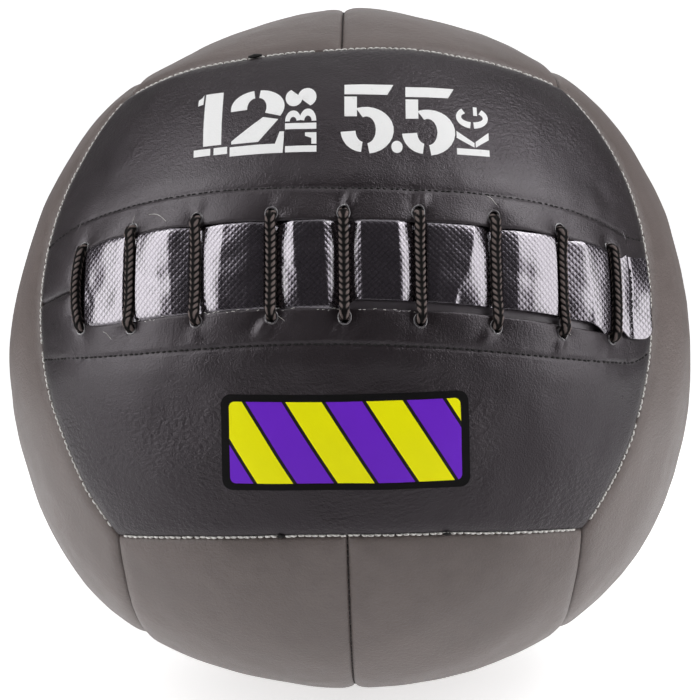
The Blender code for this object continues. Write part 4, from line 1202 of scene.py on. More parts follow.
def lining():
    """A grid over the mouth at an even depth, which rises where the tongue is cut away."""
    azimuths = np.linspace(mouth_azimuth(LINING_START), RUN_AT[-1], LINING_GRID[0])
    rows = np.linspace(-1.0, 1.0, LINING_GRID[1])
    y = (mouth_half(azimuths) + TUCKED)[:, None] * rows
    heights = mouth_middle(azimuths)[:, None] + y / FRONT_RADIUS
    share = mouth_share(azimuths)
    shown = smooth(share, *CUT_START) * (1.0 - smooth(share, *LINING_SHOWN_END))
    low = smooth(-y, *LINING_SHOWN_LOW)
    depth = LINING_DEPTH - LINING_RISE * shown[:, None] * low
    depth = depth + 0.05 * MM * ripple(direction(azimuths[:, None], heights), 0.02, 41)
    return strip_shell("mouth_lining", azimuths, heights, depth, LINING_THICKNESS, LINING, "lining_vinyl")


lining()

# %% [markdown]
# ## The lace
# One cord runs up over the tongue, in through an upper hole, slantwise down behind the tongue, and
# out of the next lower hole, nine times. Its route is a list of points from that description. A
# smooth curve through them carries a round section, and the braid is modelled in the section:
# four columns of yarns, leaning left and right by turns, meet in chevrons.

# %% The route of the lace
LACE_RADIUS = 2.2 * MM
LACE_BEND = 2.3 * MM
OUTER_BEND = 0.55 * MM
INNER_BEND = 5.55 * MM
BEHIND = INNER_BEND + LACE_BEND
OVER = OUTER_BEND - LACE_BEND
DIP = 0.2 * MM
LACE_TAIL = 26.0 * MM
FIRST_RUN_BOW = 2.0 * MM
DIP_REACH = 11.5 * MM
QUARTER_BEND = (0.0, 30.0, 60.0, 90.0)
# Where the route has points, as shares of the way over the tongue and of the way back behind it
OVER_SHARES = (-0.78, -0.45, 0.0, 0.45, 0.78)
BEHIND_SHARES = (0.35, 0.65)


def lace_route():
    """Points along the lace from its hidden start to its hidden end, and which of them can be seen."""
    points, shown = [], []

    def put(azimuth, offset, depth, visible):
        way = direction(azimuth, mouth_middle(azimuth) + offset / FRONT_RADIUS)
        points.append(at_depth(way, np.asarray(depth)))
        shown.append(visible)

    def bend(azimuth, offset, ahead, side, centre, outward, backwards):
        """A quarter circle from the line of a hole to a run that leads away from it."""
        for angle in np.radians(QUARTER_BEND[::-1] if backwards else QUARTER_BEND):
            along = LACE_BEND * (1.0 - math.cos(angle))
            depth = centre + (-1.0 if outward else 1.0) * LACE_BEND * math.sin(angle)
            put(azimuth + side * along / FRONT_RADIUS, offset + ahead * along, depth, outward)

    reach = mouth_half(RUN_AT) + HOLE_INSETS
    edge = mouth_half(RUN_AT)
    for index, azimuth in enumerate(RUN_AT):
        half = reach[index]
        level = half - LACE_BEND
        if index == 0:
            put(azimuth, -level + LACE_TAIL, BEHIND, False)
            put(azimuth, -level + LACE_TAIL / 2.0, BEHIND, False)
            bend(azimuth, -half, 1.0, 0.0, INNER_BEND, False, True)
        bend(azimuth, -half, 1.0, 0.0, OUTER_BEND, True, False)
        for share in OVER_SHARES:
            offset = share * level
            dip = 0.0 if index in (0, RUNS - 1) else 1.0 - smooth(abs(offset), DIP_REACH, edge[index])
            bow = FIRST_RUN_BOW * (1.0 - share ** 2) / FRONT_RADIUS if index == 0 else 0.0
            put(azimuth - bow, offset, OVER + dip * (DIP - OVER), True)
        bend(azimuth, half, -1.0, 0.0, OUTER_BEND, True, True)
        if index == RUNS - 1:
            bend(azimuth, half, -1.0, 0.0, INNER_BEND, False, False)
            put(azimuth, level - LACE_TAIL / 2.0, BEHIND, False)
            put(azimuth, level - LACE_TAIL, BEHIND, False)
            continue
        following = RUN_AT[index + 1]
        rise = -(half + reach[index + 1])
        across = (following - azimuth) * FRONT_RADIUS
        span = math.hypot(rise, across)
        bend(azimuth, half, rise / span, across / span, INNER_BEND, False, False)
        for share in BEHIND_SHARES:
            put(azimuth + share * (following - azimuth), half + share * rise, BEHIND, False)
        bend(following, -reach[index + 1], -rise / span, -across / span, INNER_BEND, False, True)
    return np.array(points), np.array(shown, float)


def through_points(points, steps):
    """Smooth curve through points: Catmull-Rom, with steps samples on the stretch after each point."""
    padded = np.concatenate((2.0 * points[:1] - points[1:2], points, 2.0 * points[-1:] - points[-2:-1]))
    samples = []
    for k, count in enumerate(steps):
        t = (np.arange(count) / count)[:, None]
        a, b, c, d = padded[k:k + 4]
        samples.append(0.5 * (2 * b + (c - a) * t + (2 * a - 5 * b + 4 * c - d) * t ** 2
                              + (3 * b - a - 3 * c + d) * t ** 3))
    return np.concatenate(samples + [points[-1:]])


BRAID_PITCH = 2.9 * MM
BRAID_COLUMNS = 4
BRAID_LEAN = 1.05
BRAID_RELIEF = 0.7 * MM
BRAID_FULLNESS = 1.12
YARN_FALL = 0.75
YARN_FALL_POWER = 2.5
# Both ends of the lace swell a little and then close: share of the radius and reach
END_SWELL = (0.35, 3.0 * MM)
END_CLOSING = (0.5, 0.5 * MM)
LACE_SIDES = 48
SHOWN_STEP = 0.36 * MM
HIDDEN_STEP = 1.3 * MM


def lace():
    """A round section carried along the route. Its yarns bulge, and each column leans its own way."""
    points, shown = lace_route()
    spans = np.linalg.norm(np.diff(points, axis=0), axis=1)
    steps = np.where((shown[:-1] + shown[1:]) > 0.0, SHOWN_STEP, HIDDEN_STEP)
    path = through_points(points, np.maximum(1, np.round(spans / steps)).astype(int))
    run = np.concatenate(([0.0], np.cumsum(np.linalg.norm(np.diff(path, axis=0), axis=1))))
    along = unit(np.gradient(path, axis=0))
    east = unit(np.cross(np.array((0.0, 0.0, 1.0)), unit(path)))
    side = unit(east - (east * along).sum(axis=-1, keepdims=True) * along)
    column = np.arange(LACE_SIDES) / LACE_SIDES * BRAID_COLUMNS
    lean = np.where(np.floor(column) % 2 == 0, 1.0, -1.0)
    within = column % 1.0
    phase = (run[:, None] / BRAID_PITCH + lean * (within - 0.5) * BRAID_LEAN) % 1.0
    round_yarn = np.sqrt(np.clip(1.0 - (2.0 * phase - 1.0) ** 2, 0.0, 1.0))
    yarn = round_yarn * (1.0 - YARN_FALL * np.abs(2.0 * within - 1.0) ** YARN_FALL_POWER)
    from_end = np.minimum(run, run[-1] - run)
    swell = 1.0 + END_SWELL[0] * bell(from_end, END_SWELL[1])
    swell = swell - END_CLOSING[0] * bell(from_end, END_CLOSING[1])
    radius = (LACE_RADIUS * BRAID_FULLNESS - BRAID_RELIEF * (1.0 - yarn)) * swell[:, None]
    rings = rings_round(path[None], side[None], np.cross(along, side)[None], radius, LACE_SIDES)
    print("length of the lace %.3f m" % run[-1])
    return add_piece("braided_lace", rings.reshape(-1, 3), tube_quads(1, len(path), LACE_SIDES), BRAID,
                     "braided_cord", "lace", yarn=yarn.reshape(-1))


lace()

# %% [markdown]
# ## Sewing
# Each visible stitch is a short tube whose two ends dive into the cloth. All stitches of one seam
# are one mesh. Pale thread joins the black face to the grey ones and shows in the seam. One function
# sews them all, and one small table for each kind of sewing gives its thread and its sizes.

# %% Stitches
STITCH_POINTS = 7
STITCH_SIDES = 8
# How much each stitch strays along the seam, varies in length, dives at its ends and thins there
STITCH_STRAY = 0.12
STITCH_LENGTHS = (0.85, 1.1)
STITCH_DIVE = 2.6
STITCH_THINNING = 0.35
SEAM_POINTS = 400
OUTLINE_TRIM = 0.012
# Each kind of sewing: its thread, and the stitches' pitch, length, radius and sideways stray
OUTLINE_SEWING = {"material": PALE_THREAD, "pitch": 3.1 * MM, "length": 2.9 * MM, "radius": 0.52 * MM,
                  "wander": 0.16 * MM}
SEAM_SEWING = {"material": DARK_THREAD, "pitch": 3.2 * MM, "length": 2.4 * MM, "radius": 0.3 * MM,
               "wander": 0.1 * MM}
HEM_SEWING = {"material": HEM_THREAD, "pitch": 3.0 * MM, "length": 2.1 * MM, "radius": 0.44 * MM,
              "wander": 0.08 * MM}
FRAY = {"material": PALE_THREAD, "pitch": 2.3 * MM, "length": 1.5 * MM, "radius": 0.12 * MM,
        "wander": 0.7 * MM}
TACK_SEWING = {"material": HEM_THREAD, "pitch": 2.4 * MM, "length": 2.2 * MM, "radius": 0.4 * MM,
               "wander": 0.1 * MM}


def add_stitches(name, line, depth_of, slot, seed, material, pitch, length, radius, wander, skip=0.0):
    """Stitches along a dense line of directions. Depth is of the thread's middle below the surface."""
    gaps = np.linalg.norm(np.diff(line, axis=0), axis=1) * BALL_RADIUS
    run = np.concatenate(([0.0], np.cumsum(gaps)))
    draw = np.random.default_rng(seed)
    starts = np.arange(pitch, run[-1] - pitch, pitch)
    starts = starts + draw.uniform(-STITCH_STRAY, STITCH_STRAY, len(starts)) * pitch
    starts = starts[draw.uniform(size=len(starts)) >= skip]
    each = (len(starts), 1)
    share = np.linspace(-0.5, 0.5, STITCH_POINTS)
    places = starts[:, None] + share * length * draw.uniform(*STITCH_LENGTHS, each)
    ways = unit(np.stack([np.interp(places, run, line[:, axis]) for axis in range(3)], -1))
    across = unit(np.cross(ways, np.gradient(ways, axis=1)))
    shift = draw.uniform(-1.0, 1.0, each) * wander + share * draw.uniform(-1.0, 1.0, each) * wander
    ways = unit(ways + across * (shift / BALL_RADIUS)[..., None])
    dive = radius * STITCH_DIVE * np.abs(2.0 * share) ** 5
    depth = np.broadcast_to(depth_of(ways), places.shape) + dive
    thick = radius * (1.0 - STITCH_THINNING * np.abs(2.0 * share) ** 4)
    thick = np.broadcast_to(thick, places.shape)[..., None]
    rings = tube_points(at_depth(ways, depth), thick, ways, STITCH_SIDES)
    quads = tube_quads(len(starts), STITCH_POINTS, STITCH_SIDES)
    return add_piece(name, rings.reshape(-1, 3), quads, material, slot=slot)


def seam_line(start, middle, end, trim=0.0):
    """A dense row of directions along one seam, with a share left out at both ends."""
    return circle_through(start, middle, end, np.linspace(trim, 1.0 - trim, SEAM_POINTS))


def front_outline(height, trim=0.0):
    """The upper or lower outline of the front face."""
    return seam_line(corner(-1, -1, height), front_mid(-1, height), corner(1, -1, height), trim)


def side_outline(side, trim=0.0):
    """The left or right outline of the front face."""
    return seam_line(corner(side, -1, 1), side_mid(side, -1), corner(side, -1, -1), trim)


def towards_front(line, distance):
    """The same line moved over the ball towards the middle of the front face."""
    middle = np.array((0.0, -1.0, 0.0))
    pull = unit(middle - (line @ middle)[:, None] * line)
    return unit(line + pull * distance / BALL_RADIUS)


def seam_depth(below):
    """Depth of a thread that lies so far below the panels' calm swells."""
    return lambda ways: below - calm_relief(ways)


def hem_depth(above):
    """Depth of a thread that lies so far above the relief of the front panels."""
    return lambda ways: -front_relief(ways) - above


for word, line in (("top", front_outline(1, OUTLINE_TRIM)), ("bottom", front_outline(-1, OUTLINE_TRIM)),
                   ("left", side_outline(-1, OUTLINE_TRIM)), ("right", side_outline(1, OUTLINE_TRIM))):
    add_stitches("outline_thread_" + word, towards_front(line, 0.75 * MM), seam_depth(SEAM_SINK - 0.8 * MM),
                 "grey_vinyl", len(word), skip=0.03, **OUTLINE_SEWING)

# %% [markdown]
# The seams between two grey panels, and the seam past both ends of the mouth, get dark thread that
# only shows as small dashes in the valley. A row of dark stitches holds down each hem.

# %% Dark seams and hems
def face_middle(axis, sign):
    """Direction out of the middle of one of the six faces: axis 0 right, 1 back, 2 up."""
    return sign * np.eye(3)[axis]


def dark_seam_lines():
    """The middle seams of all faces but the front, and the outlines between two grey panels."""
    lines = []
    for height in (1, -1):
        lines.append(seam_line(front_mid(-1, height), face_middle(2, height), front_mid(1, height)))
        lines.append(seam_line(corner(-1, 1, height), front_mid(1, height), corner(1, 1, height)))
        lines += [seam_line(corner(side, -1, height), top_mid(side, height), corner(side, 1, height))
                  for side in (-1, 1)]
    for side in (-1, 1):
        lines.append(seam_line(top_mid(side, 1), face_middle(0, side), top_mid(side, -1)))
        lines.append(seam_line(corner(side, 1, 1), side_mid(side, 1), corner(side, 1, -1)))
    lines.append(seam_line(side_mid(-1, 1), face_middle(1, 1), side_mid(1, 1)))
    return lines


def at_middle(azimuths, offset=0.0):
    """Directions at a distance above the mouth's middle line."""
    return direction(azimuths, mouth_middle(azimuths) + offset / FRONT_RADIUS)


DARK_DEPTH = seam_depth(SEAM_SINK + 0.45 * MM)
for number, line in enumerate(dark_seam_lines()):
    add_stitches("seam_thread_%02d" % (number + 1), line, DARK_DEPTH, "grey_vinyl", 40 + number,
                 **SEAM_SEWING)
for word, side in (("left", -1), ("right", 1)):
    line = at_middle(np.linspace(*sorted((mouth_azimuth(side), side * FRONT_SIDE)), 60))
    add_stitches("mouth_end_thread_" + word, line, DARK_DEPTH, "black_vinyl", 70, **SEAM_SEWING)
for word, height, seed in (("upper", 1, 81), ("lower", -1, 82)):
    azimuths = np.linspace(-FRONT_SIDE * 0.985, FRONT_SIDE * 0.985, 500)
    line = at_middle(azimuths, height * hem_line(azimuths))
    add_stitches("hem_stitches_" + word, line, hem_depth(0.14 * MM), "black_vinyl", seed, **HEM_SEWING)

# %% [markdown]
# Small signs of handwork: the zigzag that tacks the strip's tail down, cut fibres along the lower
# hem's edge, a few stray hairs, and three dark tacks where the outline seam was closed.

# %% Tacks, fray and hairs
# Hairs in millimetres on the front of the ball: start, end, and how far the middle bows up
HAIRS = ((-89, 27, -79, 22, 1.6), (-99, 22, -97, 28, 0.8), (-31, -24, -25, -27, 0.9), (69, 26, 65, 30, 0.7),
         (99, -24, 104, -28, 0.8), (-112, -22, -108, -26, 0.7))
HAIR_RADIUS = 0.1 * MM
HAIR_SIDES = 6
# Tacks on the upper (1) or lower (-1) outline: place, length and radius in millimetres
TACKS = ((1, -42.0, 6.5, 0.95), (-1, -29.5, 3.2, 0.75), (-1, 44.0, 3.6, 0.65))
TACK_SIDES = 12
ZIGZAG_HALF_HEIGHT = 14.5 * MM
ZIGZAG_WIDE = 0.5 * MM
ZIGZAG_TURNS = 2.4


def tail_tack():
    """The zigzag that holds the strip's tail down."""
    y = np.linspace(-ZIGZAG_HALF_HEIGHT, ZIGZAG_HALF_HEIGHT, 200)
    azimuth = TACK_AT + (ZIGZAG_WIDE * np.sin(y / MM * ZIGZAG_TURNS) - TACK_LEAN * y) / FRONT_RADIUS
    height = TONGUE_THICKNESS + 0.08 * (TACK_AT - RUN_AT[-1]) * FRONT_RADIUS
    add_stitches("tail_tack", at_middle(azimuth, y), hem_depth(height), "coated_mesh", 95, **TACK_SEWING)


def hem_fray():
    """Thin short fibres, scattered along the cut edge of the lower hem."""
    azimuths = np.linspace(RUN_AT[1], RUN_AT[5], 500)
    line = at_middle(azimuths, -mouth_half(azimuths) - 0.5 * MM)
    add_stitches("hem_fray", line, hem_depth(-0.3 * MM), "black_vinyl", 91, skip=0.45, **FRAY)


def stray_hairs():
    """Each hair is a straight line bowed by half a sine wave and laid on the relief."""
    share = np.linspace(0.0, 1.0, 14)
    x0, y0, x1, y1, bow = np.array(HAIRS, float).T[:, :, None]
    x = x0 + (x1 - x0) * share
    y = y0 + (y1 - y0) * share + bow * np.sin(math.pi * share)
    ways = direction(x * MM / FRONT_RADIUS, y * MM / FRONT_RADIUS)
    lines = at_depth(ways, -front_relief(ways) - 0.12 * MM)
    rings = tube_points(lines, HAIR_RADIUS, ways, HAIR_SIDES)
    add_piece("stray_hairs", rings.reshape(-1, 3), tube_quads(len(HAIRS), len(share), HAIR_SIDES),
              PALE_THREAD, slot="black_vinyl")


def seam_tacks():
    """Thick knots of thread that lie along the outline seam, thinner at both ends."""
    share = np.linspace(-0.5, 0.5, 9)
    ways, thick = [], []
    for height, place, length, radius in TACKS:
        line = towards_front(front_outline(height), 0.9 * MM)
        line = line[np.argsort(line[:, 0])]
        places = (place + share * length) * MM / BALL_RADIUS
        ways.append(unit(np.stack([np.interp(places, line[:, 0], line[:, axis]) for axis in range(3)], -1)))
        tapered = 1.0 - 0.5 * np.abs(2.0 * share) ** 3
        thick.append(radius * MM * tapered * (1.0 + 0.15 * np.cos(share * 60.0)))
    ways = np.array(ways)
    lines = at_depth(ways, np.full(ways.shape[:2], 0.9 * MM))
    rings = tube_points(lines, np.array(thick)[..., None], ways, TACK_SIDES)
    add_piece("seam_tacks", rings.reshape(-1, 3), tube_quads(len(TACKS), len(share), TACK_SIDES),
              HEM_THREAD, slot="black_vinyl")


tail_tack()
hem_fray()
stray_hairs()
seam_tacks()

# %% [markdown]
# ## Printed figures and the patch
# The weight is printed in plain stencil numerals, and a soft patch with a black border sits under
# the mouth. Both are flat outlines in millimetres. Each outline is cut into small cells, so that it
# can bend, and then every point is laid on the panel's own relief.

# %% Outlines on the ball
def arc(cx, cy, outer, inner, start, stop, count=16):
    """Outline of a bent bar: an outer arc forwards and an inner arc back, radii given as (x, y)."""
    turn = np.radians(np.linspace(start, stop, count))
    forth = [(cx + outer[0] * math.cos(a), cy + outer[1] * math.sin(a)) for a in turn]
    back = [(cx + inner[0] * math.cos(a), cy + inner[1] * math.sin(a)) for a in turn[::-1]]
    return forth + back


def bar(x0, y0, x1, y1):
    """Outline of an upright box between two opposite corners."""
    return [(x0, y0), (x1, y0), (x1, y1), (x0, y1)]


ONE = [bar(0.28, 0.14, 0.82, 1.0), [(0.06, 0.80), (0.22, 0.82), (0.22, 1.0), (0.17, 0.95), (0.06, 0.91)],
       bar(0.0, 0.0, 0.50, 0.10), bar(0.60, 0.0, 1.0, 0.10)]
TWO = [arc(0.37, 0.70, (0.35, 0.30), (0.11, 0.17), -32, 86),
       arc(0.33, 0.70, (0.33, 0.30), (0.11, 0.17), 94, 186),
       [(0.64, 0.49), (0.44, 0.54), (0.02, 0.21), (0.02, 0.17), (0.38, 0.17)],
       [(0.0, 0.0), (0.70, 0.0), (0.72, 0.30), (0.66, 0.30), (0.60, 0.13), (0.0, 0.13)]]
FIVE = [[(0.05, 0.84), (0.60, 0.84), (0.68, 1.0), (0.05, 1.0)], bar(0.05, 0.50, 0.21, 0.80),
        arc(0.33, 0.31, (0.35, 0.33), (0.12, 0.19), -84, 112),
        arc(0.29, 0.31, (0.29, 0.31), (0.10, 0.17), 186, 264)]
DOT = [arc(0.1, 0.085, (0.10, 0.085), (0.001, 0.001), start, start + 180, 10) for start in (0, 180)]
LETTER_L = [bar(0.06, 0.0, 0.24, 1.0),
            [(0.29, 0.0), (0.62, 0.0), (0.62, 0.36), (0.52, 0.36), (0.46, 0.16), (0.29, 0.16)]]
LETTER_B = [bar(0.04, 0.0, 0.22, 1.0), arc(0.28, 0.74, (0.34, 0.26), (0.14, 0.11), -84, 90),
            arc(0.28, 0.27, (0.38, 0.27), (0.16, 0.12), -90, 84)]
LETTER_S = [arc(0.32, 0.725, (0.30, 0.275), (0.12, 0.125), 20, 264),
            arc(0.32, 0.30, (0.32, 0.30), (0.12, 0.15), -160, 84)]
LETTER_K = [bar(0.04, 0.0, 0.22, 1.0), [(0.27, 0.46), (0.52, 1.0), (0.72, 1.0), (0.40, 0.46)],
            [(0.27, 0.42), (0.43, 0.42), (0.74, 0.0), (0.52, 0.0)]]
LETTER_G = [arc(0.36, 0.5, (0.34, 0.5), (0.15, 0.34), 40, 172),
            arc(0.36, 0.5, (0.34, 0.5), (0.15, 0.34), 186, 322),
            [(0.42, 0.34), (0.70, 0.34), (0.70, 0.46), (0.42, 0.46)]]
# Each printed figure: left, base, width and height in millimetres from the middle of the front face,
# and whether it stands on its side, to be read upwards
PRINTED = (
    (ONE, -66.8, 53.2, 15.9, 37.5, False), (TWO, -49.7, 51.5, 34.2, 38.0, False),
    (LETTER_L, -24.7, 50.5, 18.5, 13.8, True), (LETTER_B, -24.7, 63.2, 18.5, 13.8, True),
    (LETTER_S, -24.7, 76.9, 18.5, 13.8, True), (FIVE, -0.3, 51.0, 34.5, 39.2, False),
    (DOT, 22.0, 50.6, 25.0, 39.0, False), (FIVE, 26.8, 50.3, 35.0, 38.9, False),
    (LETTER_K, 51.2, 49.8, 19.0, 15.0, True), (LETTER_G, 51.2, 65.2, 19.0, 15.0, True),
)


def weight_outlines():
    """Outlines of all printed figures and letters in millimetres."""
    laid = []
    for glyph, left, base, width, tall, turned in PRINTED:
        for outline in glyph:
            x, y = (np.array(outline) * (width, tall)).T
            laid.append(np.stack((tall - y, x) if turned else (x, y), -1) + (left, base))
    return laid


def cut_in_cells(outlines, cell):
    """Flat faces with the given outlines in millimetres, cut by straight lines every cell both ways."""
    flat = bmesh.new()
    for outline in outlines:
        flat.faces.new([flat.verts.new((x * MM, y * MM, 0.0)) for x, y in outline])
    bmesh.ops.triangulate(flat, faces=flat.faces)
    corners = np.array([v.co for v in flat.verts])
    for axis in np.eye(3)[:2]:
        reach = corners @ axis
        for where in np.arange(reach.min() + cell, reach.max(), cell):
            everything = flat.verts[:] + flat.edges[:] + flat.faces[:]
            bmesh.ops.bisect_plane(flat, geom=everything, dist=1e-6, plane_co=axis * where, plane_no=axis)
    bmesh.ops.triangulate(flat, faces=flat.faces)
    bmesh.ops.recalc_face_normals(flat, faces=flat.faces)
    flat.verts.index_update()
    points = np.array([v.co for v in flat.verts])
    faces = [[v.index for v in face.verts] for face in flat.faces]
    flat.free()
    return points, faces


def wrapped(name, outlines, lift, thickness, cell, material, sag=0.0):
    """Flat outlines laid on the front of the ball as a thin closed film. sag lowers the middle."""
    flat, faces = cut_in_cells(outlines, cell)
    height = (flat[:, 1] + sag * flat[:, 0] ** 2) / FRONT_RADIUS
    ways = direction(flat[:, 0] / (FRONT_RADIUS * np.cos(height)), height)
    surface = front_relief(ways)
    top = at_depth(ways, -surface - lift)
    bottom = at_depth(ways, -surface - lift + thickness)
    area = sum(np.cross(flat[f[1]] - flat[f[0]], flat[f[2]] - flat[f[0]])[2] for f in faces)
    if area < 0.0:
        faces = [face[::-1] for face in faces]
    rims = {(one, other): True for face in faces for one, other in zip(face, face[1:] + face[:1])}
    count = len(flat)
    walls = [[b, a, a + count, b + count] for a, b in rims if (b, a) not in rims]
    mesh = bpy.data.meshes.new(name)
    mesh.from_pydata(stand(np.concatenate((top, bottom))).tolist(), [],
                     faces + [[v + count for v in face[::-1]] for face in faces] + walls)
    mesh.shade_smooth()
    mesh.set_sharp_from_angle(angle=math.radians(35))
    mark_points(mesh, flat=np.concatenate((flat, flat)) / MM)
    mesh.materials.append(material)
    piece = add_object(name, mesh)
    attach(piece, "root")
    print(name, len(mesh.polygons), "faces")
    return piece


wrapped("weight_print", weight_outlines(), 0.09 * MM, 0.2 * MM, 2.0 * MM, PRINT)

# %% [markdown]
# The patch carries a plain pattern of slanting bars in two colours, with thin dark gaps between
# them. Both are worked out from the film's own flat coordinates, so that they bend with the patch.

# %% The patch
BAR_PITCH = 34.0
BAR_SLANT = 0.62
BAR_PHASE = 200.0
# The gaps lie where the colour changes: between the two bars of a pair, and between two pairs
BAR_GAP = (0.022, 0.028)
PAIR_GAP = (0.472, 0.478)
PATCH_MIDDLE = (0.0, -79.2)
PATCH_SAG = 1.2
PATCH_CELL = 3.0 * MM


def patch_bars():
    paint = Paint("patch_bars")
    along, across, _ = paint.parts_of(paint.attribute("flat", "Vector"))
    place = ((along + across * BAR_SLANT + BAR_PHASE) / BAR_PITCH).fraction()
    from_turn = abs(place - 0.5)
    in_gap = 1.0 - from_turn.step(*BAR_GAP) * (1.0 - from_turn.step(*PAIR_GAP))
    grain = paint.noise(paint.place(), 1200.0, 3.0)
    colour = paint.mix(place.above(0.5), (1.0, 0.97, 0.0), (0.172, 0.022, 0.66))
    colour = paint.mix(in_gap, colour, (0.012, 0.010, 0.012))
    return paint.finish(Base_Color=colour, Roughness=0.4 + grain * 0.08, IOR=1.25,
                        Normal=paint.bump(grain, 0.04 * MM))


def rounded_box(half_wide, half_tall, radius, cx, cy):
    """Outline of a box with a quarter circle of eight points at each corner."""
    points = []
    for quarter, (sx, sy) in enumerate(((1, 1), (-1, 1), (-1, -1), (1, -1))):
        for a in np.radians(np.linspace(90 * quarter, 90 * quarter + 90, 8)):
            points.append((cx + sx * (half_wide - radius) + radius * math.cos(a),
                           cy + sy * (half_tall - radius) + radius * math.sin(a)))
    return points


PATCH_EDGE = film("patch_border", (0.004, 0.0035, 0.004), (0.010, 0.009, 0.010), 0.6, 1.22)
wrapped("patch_border", [rounded_box(52.8, 20.3, 4.5, *PATCH_MIDDLE)], 0.35 * MM, 0.5 * MM, PATCH_CELL,
        PATCH_EDGE, PATCH_SAG)
wrapped("patch_bars", [rounded_box(49.2, 17.3, 2.6, *PATCH_MIDDLE)], 0.42 * MM, 0.3 * MM, PATCH_CELL,
        patch_bars(), PATCH_SAG)

# %% [markdown]
# ## Hidden pieces
# The stuffing and the sand core can't be seen, but they are part of the ball. They stay as the
# measured solids, and each gets a finish of its own kind.

# %% Finishes of the filling
def fibre():
    paint = Paint("wadding")
    strands = paint.noise(paint.place(), 210.0, 6.0)
    colour = paint.mix(strands, (0.45, 0.43, 0.40), (0.80, 0.78, 0.74))
    return paint.finish(Base_Color=colour, Roughness=0.95, Normal=paint.bump(strands, 3.0 * MM))


def grains():
    paint = Paint("sand")
    where = paint.place()
    cells = paint.pebbles(where, 1400.0)
    colour = paint.mix(paint.noise(where, 900.0), (0.30, 0.23, 0.15), (0.62, 0.53, 0.40))
    return paint.finish(Base_Color=colour, Roughness=0.9, Normal=paint.bump(cells, 0.4 * MM))


FILLING = {
    "front_stuffing": fibre(), "back_stuffing": fibre(), "core_fill": grains(), "core_tie": BRAID,
    "core_bag": coated_cloth("core_sheet", (0.22, 0.23, 0.25), (0.36, 0.37, 0.40), 0.5),
    "upper_hem_tape": TAPE, "lower_hem_tape": TAPE,
}
for node, finish in FILLING.items():
    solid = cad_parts[node]
    solid.data.materials.clear()
    solid.data.materials.append(finish)

# %% [markdown]
# ## The room
# The ball stands on a pale floor that curves up behind it. Large soft lamps on both sides and above
# make the long highlights in the glossy strip, and the dark room behind the camera leaves the middle
# of each pillow black.

# %% Floor and lamps
FLOOR_FRONT = -3.0
CURVE_START = 1.4
CURVE_RADIUS = 0.8
WALL_AT = CURVE_START + CURVE_RADIUS
WALL_TOP = 3.4
FLOOR_HALF_WIDTH = 3.2
SEEN_FROM = (-0.28, -0.06)
SEEN_ACROSS = (0.7, 1.0)
# Place and size of each lamp in metres, and its power in watts
LAMPS = {
    "left_lamp": ((-1.2, -0.5, 0.8), (0.7, 1.7), 15.0),
    "right_lamp": ((1.2, -0.5, 0.8), (0.7, 1.7), 14.0),
    "right_high_lamp": ((0.85, -0.25, 1.45), (0.8, 0.8), 6.0),
    "left_high_lamp": ((-0.85, -0.25, 1.45), (0.8, 0.8), 2.6),
    "top_lamp": ((0.0, 0.0, 1.7), (1.0, 1.2), 2.4),
}


def pale_floor():
    """Nearly white. The stretch in the camera's view glows, so that it stays white without more lamps."""
    paint = Paint("floor")
    across, away, _ = paint.parts_of(paint.place())
    seen = away.step(*SEEN_FROM) * (1.0 - abs(across).step(*SEEN_ACROSS))
    colour = paint.mix(paint.noise(paint.place(), 6.0), (0.80, 0.80, 0.80), (0.84, 0.84, 0.84))
    glow = paint.mix(seen, (0.0, 0.0, 0.0), (0.66, 0.66, 0.66))
    return paint.finish(Base_Color=colour, Roughness=0.7, Emission_Color=glow, Emission_Strength=1.0)


def add_backdrop():
    """A sheet that lies flat, turns up through a quarter circle and stands behind the ball."""
    turn = np.linspace(0.0, math.pi / 2.0, 24)
    flat = np.stack((np.linspace(FLOOR_FRONT, CURVE_START, 12)[:-1], np.zeros(11)), -1)
    curve = np.stack((CURVE_START + CURVE_RADIUS * np.sin(turn), CURVE_RADIUS * (1.0 - np.cos(turn))), -1)
    profile = np.concatenate((flat, curve, np.array(((WALL_AT, 1.5), (WALL_AT, WALL_TOP)))))
    sides = np.array((-FLOOR_HALF_WIDTH, FLOOR_HALF_WIDTH))
    points = np.stack((np.repeat(sides, len(profile)), *np.tile(profile, (2, 1)).T), -1)
    mesh = bpy.data.meshes.new("backdrop")
    quads = grid_quads(np.arange(len(points)).reshape(2, -1))
    mesh.from_pydata(points.tolist(), [], quads.tolist())
    mesh.shade_smooth()
    mesh.materials.append(pale_floor())
    floor = add_object("backdrop", mesh)


def aim(thing, place, right, up, back):
    """Places a lamp or a camera, which looks along the opposite of back."""
    matrix = np.eye(4)
    matrix[:3, :3] = np.stack((right, up, back), -1)
    matrix[:3, 3] = place
    thing.matrix_world = Matrix(matrix)


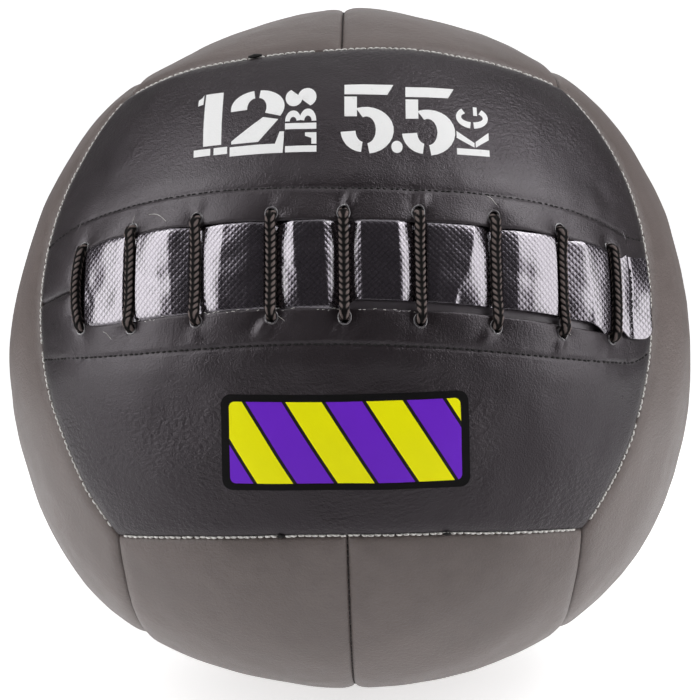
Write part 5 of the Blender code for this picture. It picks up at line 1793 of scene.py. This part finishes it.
def add_lamp(name, place, size, power):
    """A soft rectangular lamp that faces the ball."""
    light = bpy.data.lights.new(name, "AREA")
    light.shape = "RECTANGLE"
    light.size, light.size_y = size
    light.energy = power
    back = unit(np.array(place) - CENTRE)
    right = unit(np.cross(np.array((0.0, 0.0, 1.0)), back))
    if place[0] == 0.0:
        right = np.array((1.0, 0.0, 0.0))
    aim(add_object(name, light), place, right, np.cross(back, right), back)


add_backdrop()
for name, (place, size, power) in LAMPS.items():
    add_lamp(name, place, size, power)

world = bpy.data.worlds.new("room")
world.use_nodes = True
world.node_tree.nodes["Background"].inputs["Color"].default_value = (1.0, 1.0, 1.0, 1.0)
world.node_tree.nodes["Background"].inputs["Strength"].default_value = 0.03
bpy.context.scene.world = world
bpy.context.scene.view_settings.view_transform = "Standard"
print("lamps", list(LAMPS))

# %% [markdown]
# The camera looks from nearly level with the ball, 0.82 m from its middle. It was fitted to the
# photograph in the ball's own axes, so the ball's lean comes first, and then yaw, tip and roll.

# %% The camera
CAMERA_DISTANCE = 4.6 * BALL_RADIUS
CAMERA_TIP = math.radians(13.89)
CAMERA_YAW = math.radians(-1.17)
CAMERA_ROLL = math.radians(-0.70)
FOCAL_PIXELS = 1527.4
PRINCIPAL_POINT = (351.14, 351.29)
PICTURE = 700.0
SENSOR = 36.0


def add_camera():
    """The camera's axes as rows: first the ball's own lean, and then yaw, tip and roll."""
    yaw, roll = CAMERA_YAW, CAMERA_ROLL
    spin = np.array(((math.cos(yaw), -math.sin(yaw), 0), (math.sin(yaw), math.cos(yaw), 0), (0, 0, 1)))
    rock = np.array(((math.cos(roll), 0, math.sin(roll)), (0, 1, 0), (-math.sin(roll), 0, math.cos(roll))))
    right, ahead, up = rock @ turn_about_x(CAMERA_TIP) @ spin @ turn_about_x(-LEAN)
    data = bpy.data.cameras.new("camera")
    data.sensor_width = SENSOR
    data.lens = FOCAL_PIXELS * SENSOR / PICTURE
    data.shift_x = (PICTURE / 2.0 - PRINCIPAL_POINT[0]) / PICTURE
    data.shift_y = (PRINCIPAL_POINT[1] - PICTURE / 2.0) / PICTURE
    camera = add_object("camera", data)
    place = CENTRE - ahead * CAMERA_DISTANCE
    aim(camera, place, right, up, -ahead)
    bpy.context.scene.camera = camera
    print("camera at", place.round(3), "lens", round(data.lens, 2))


add_camera()
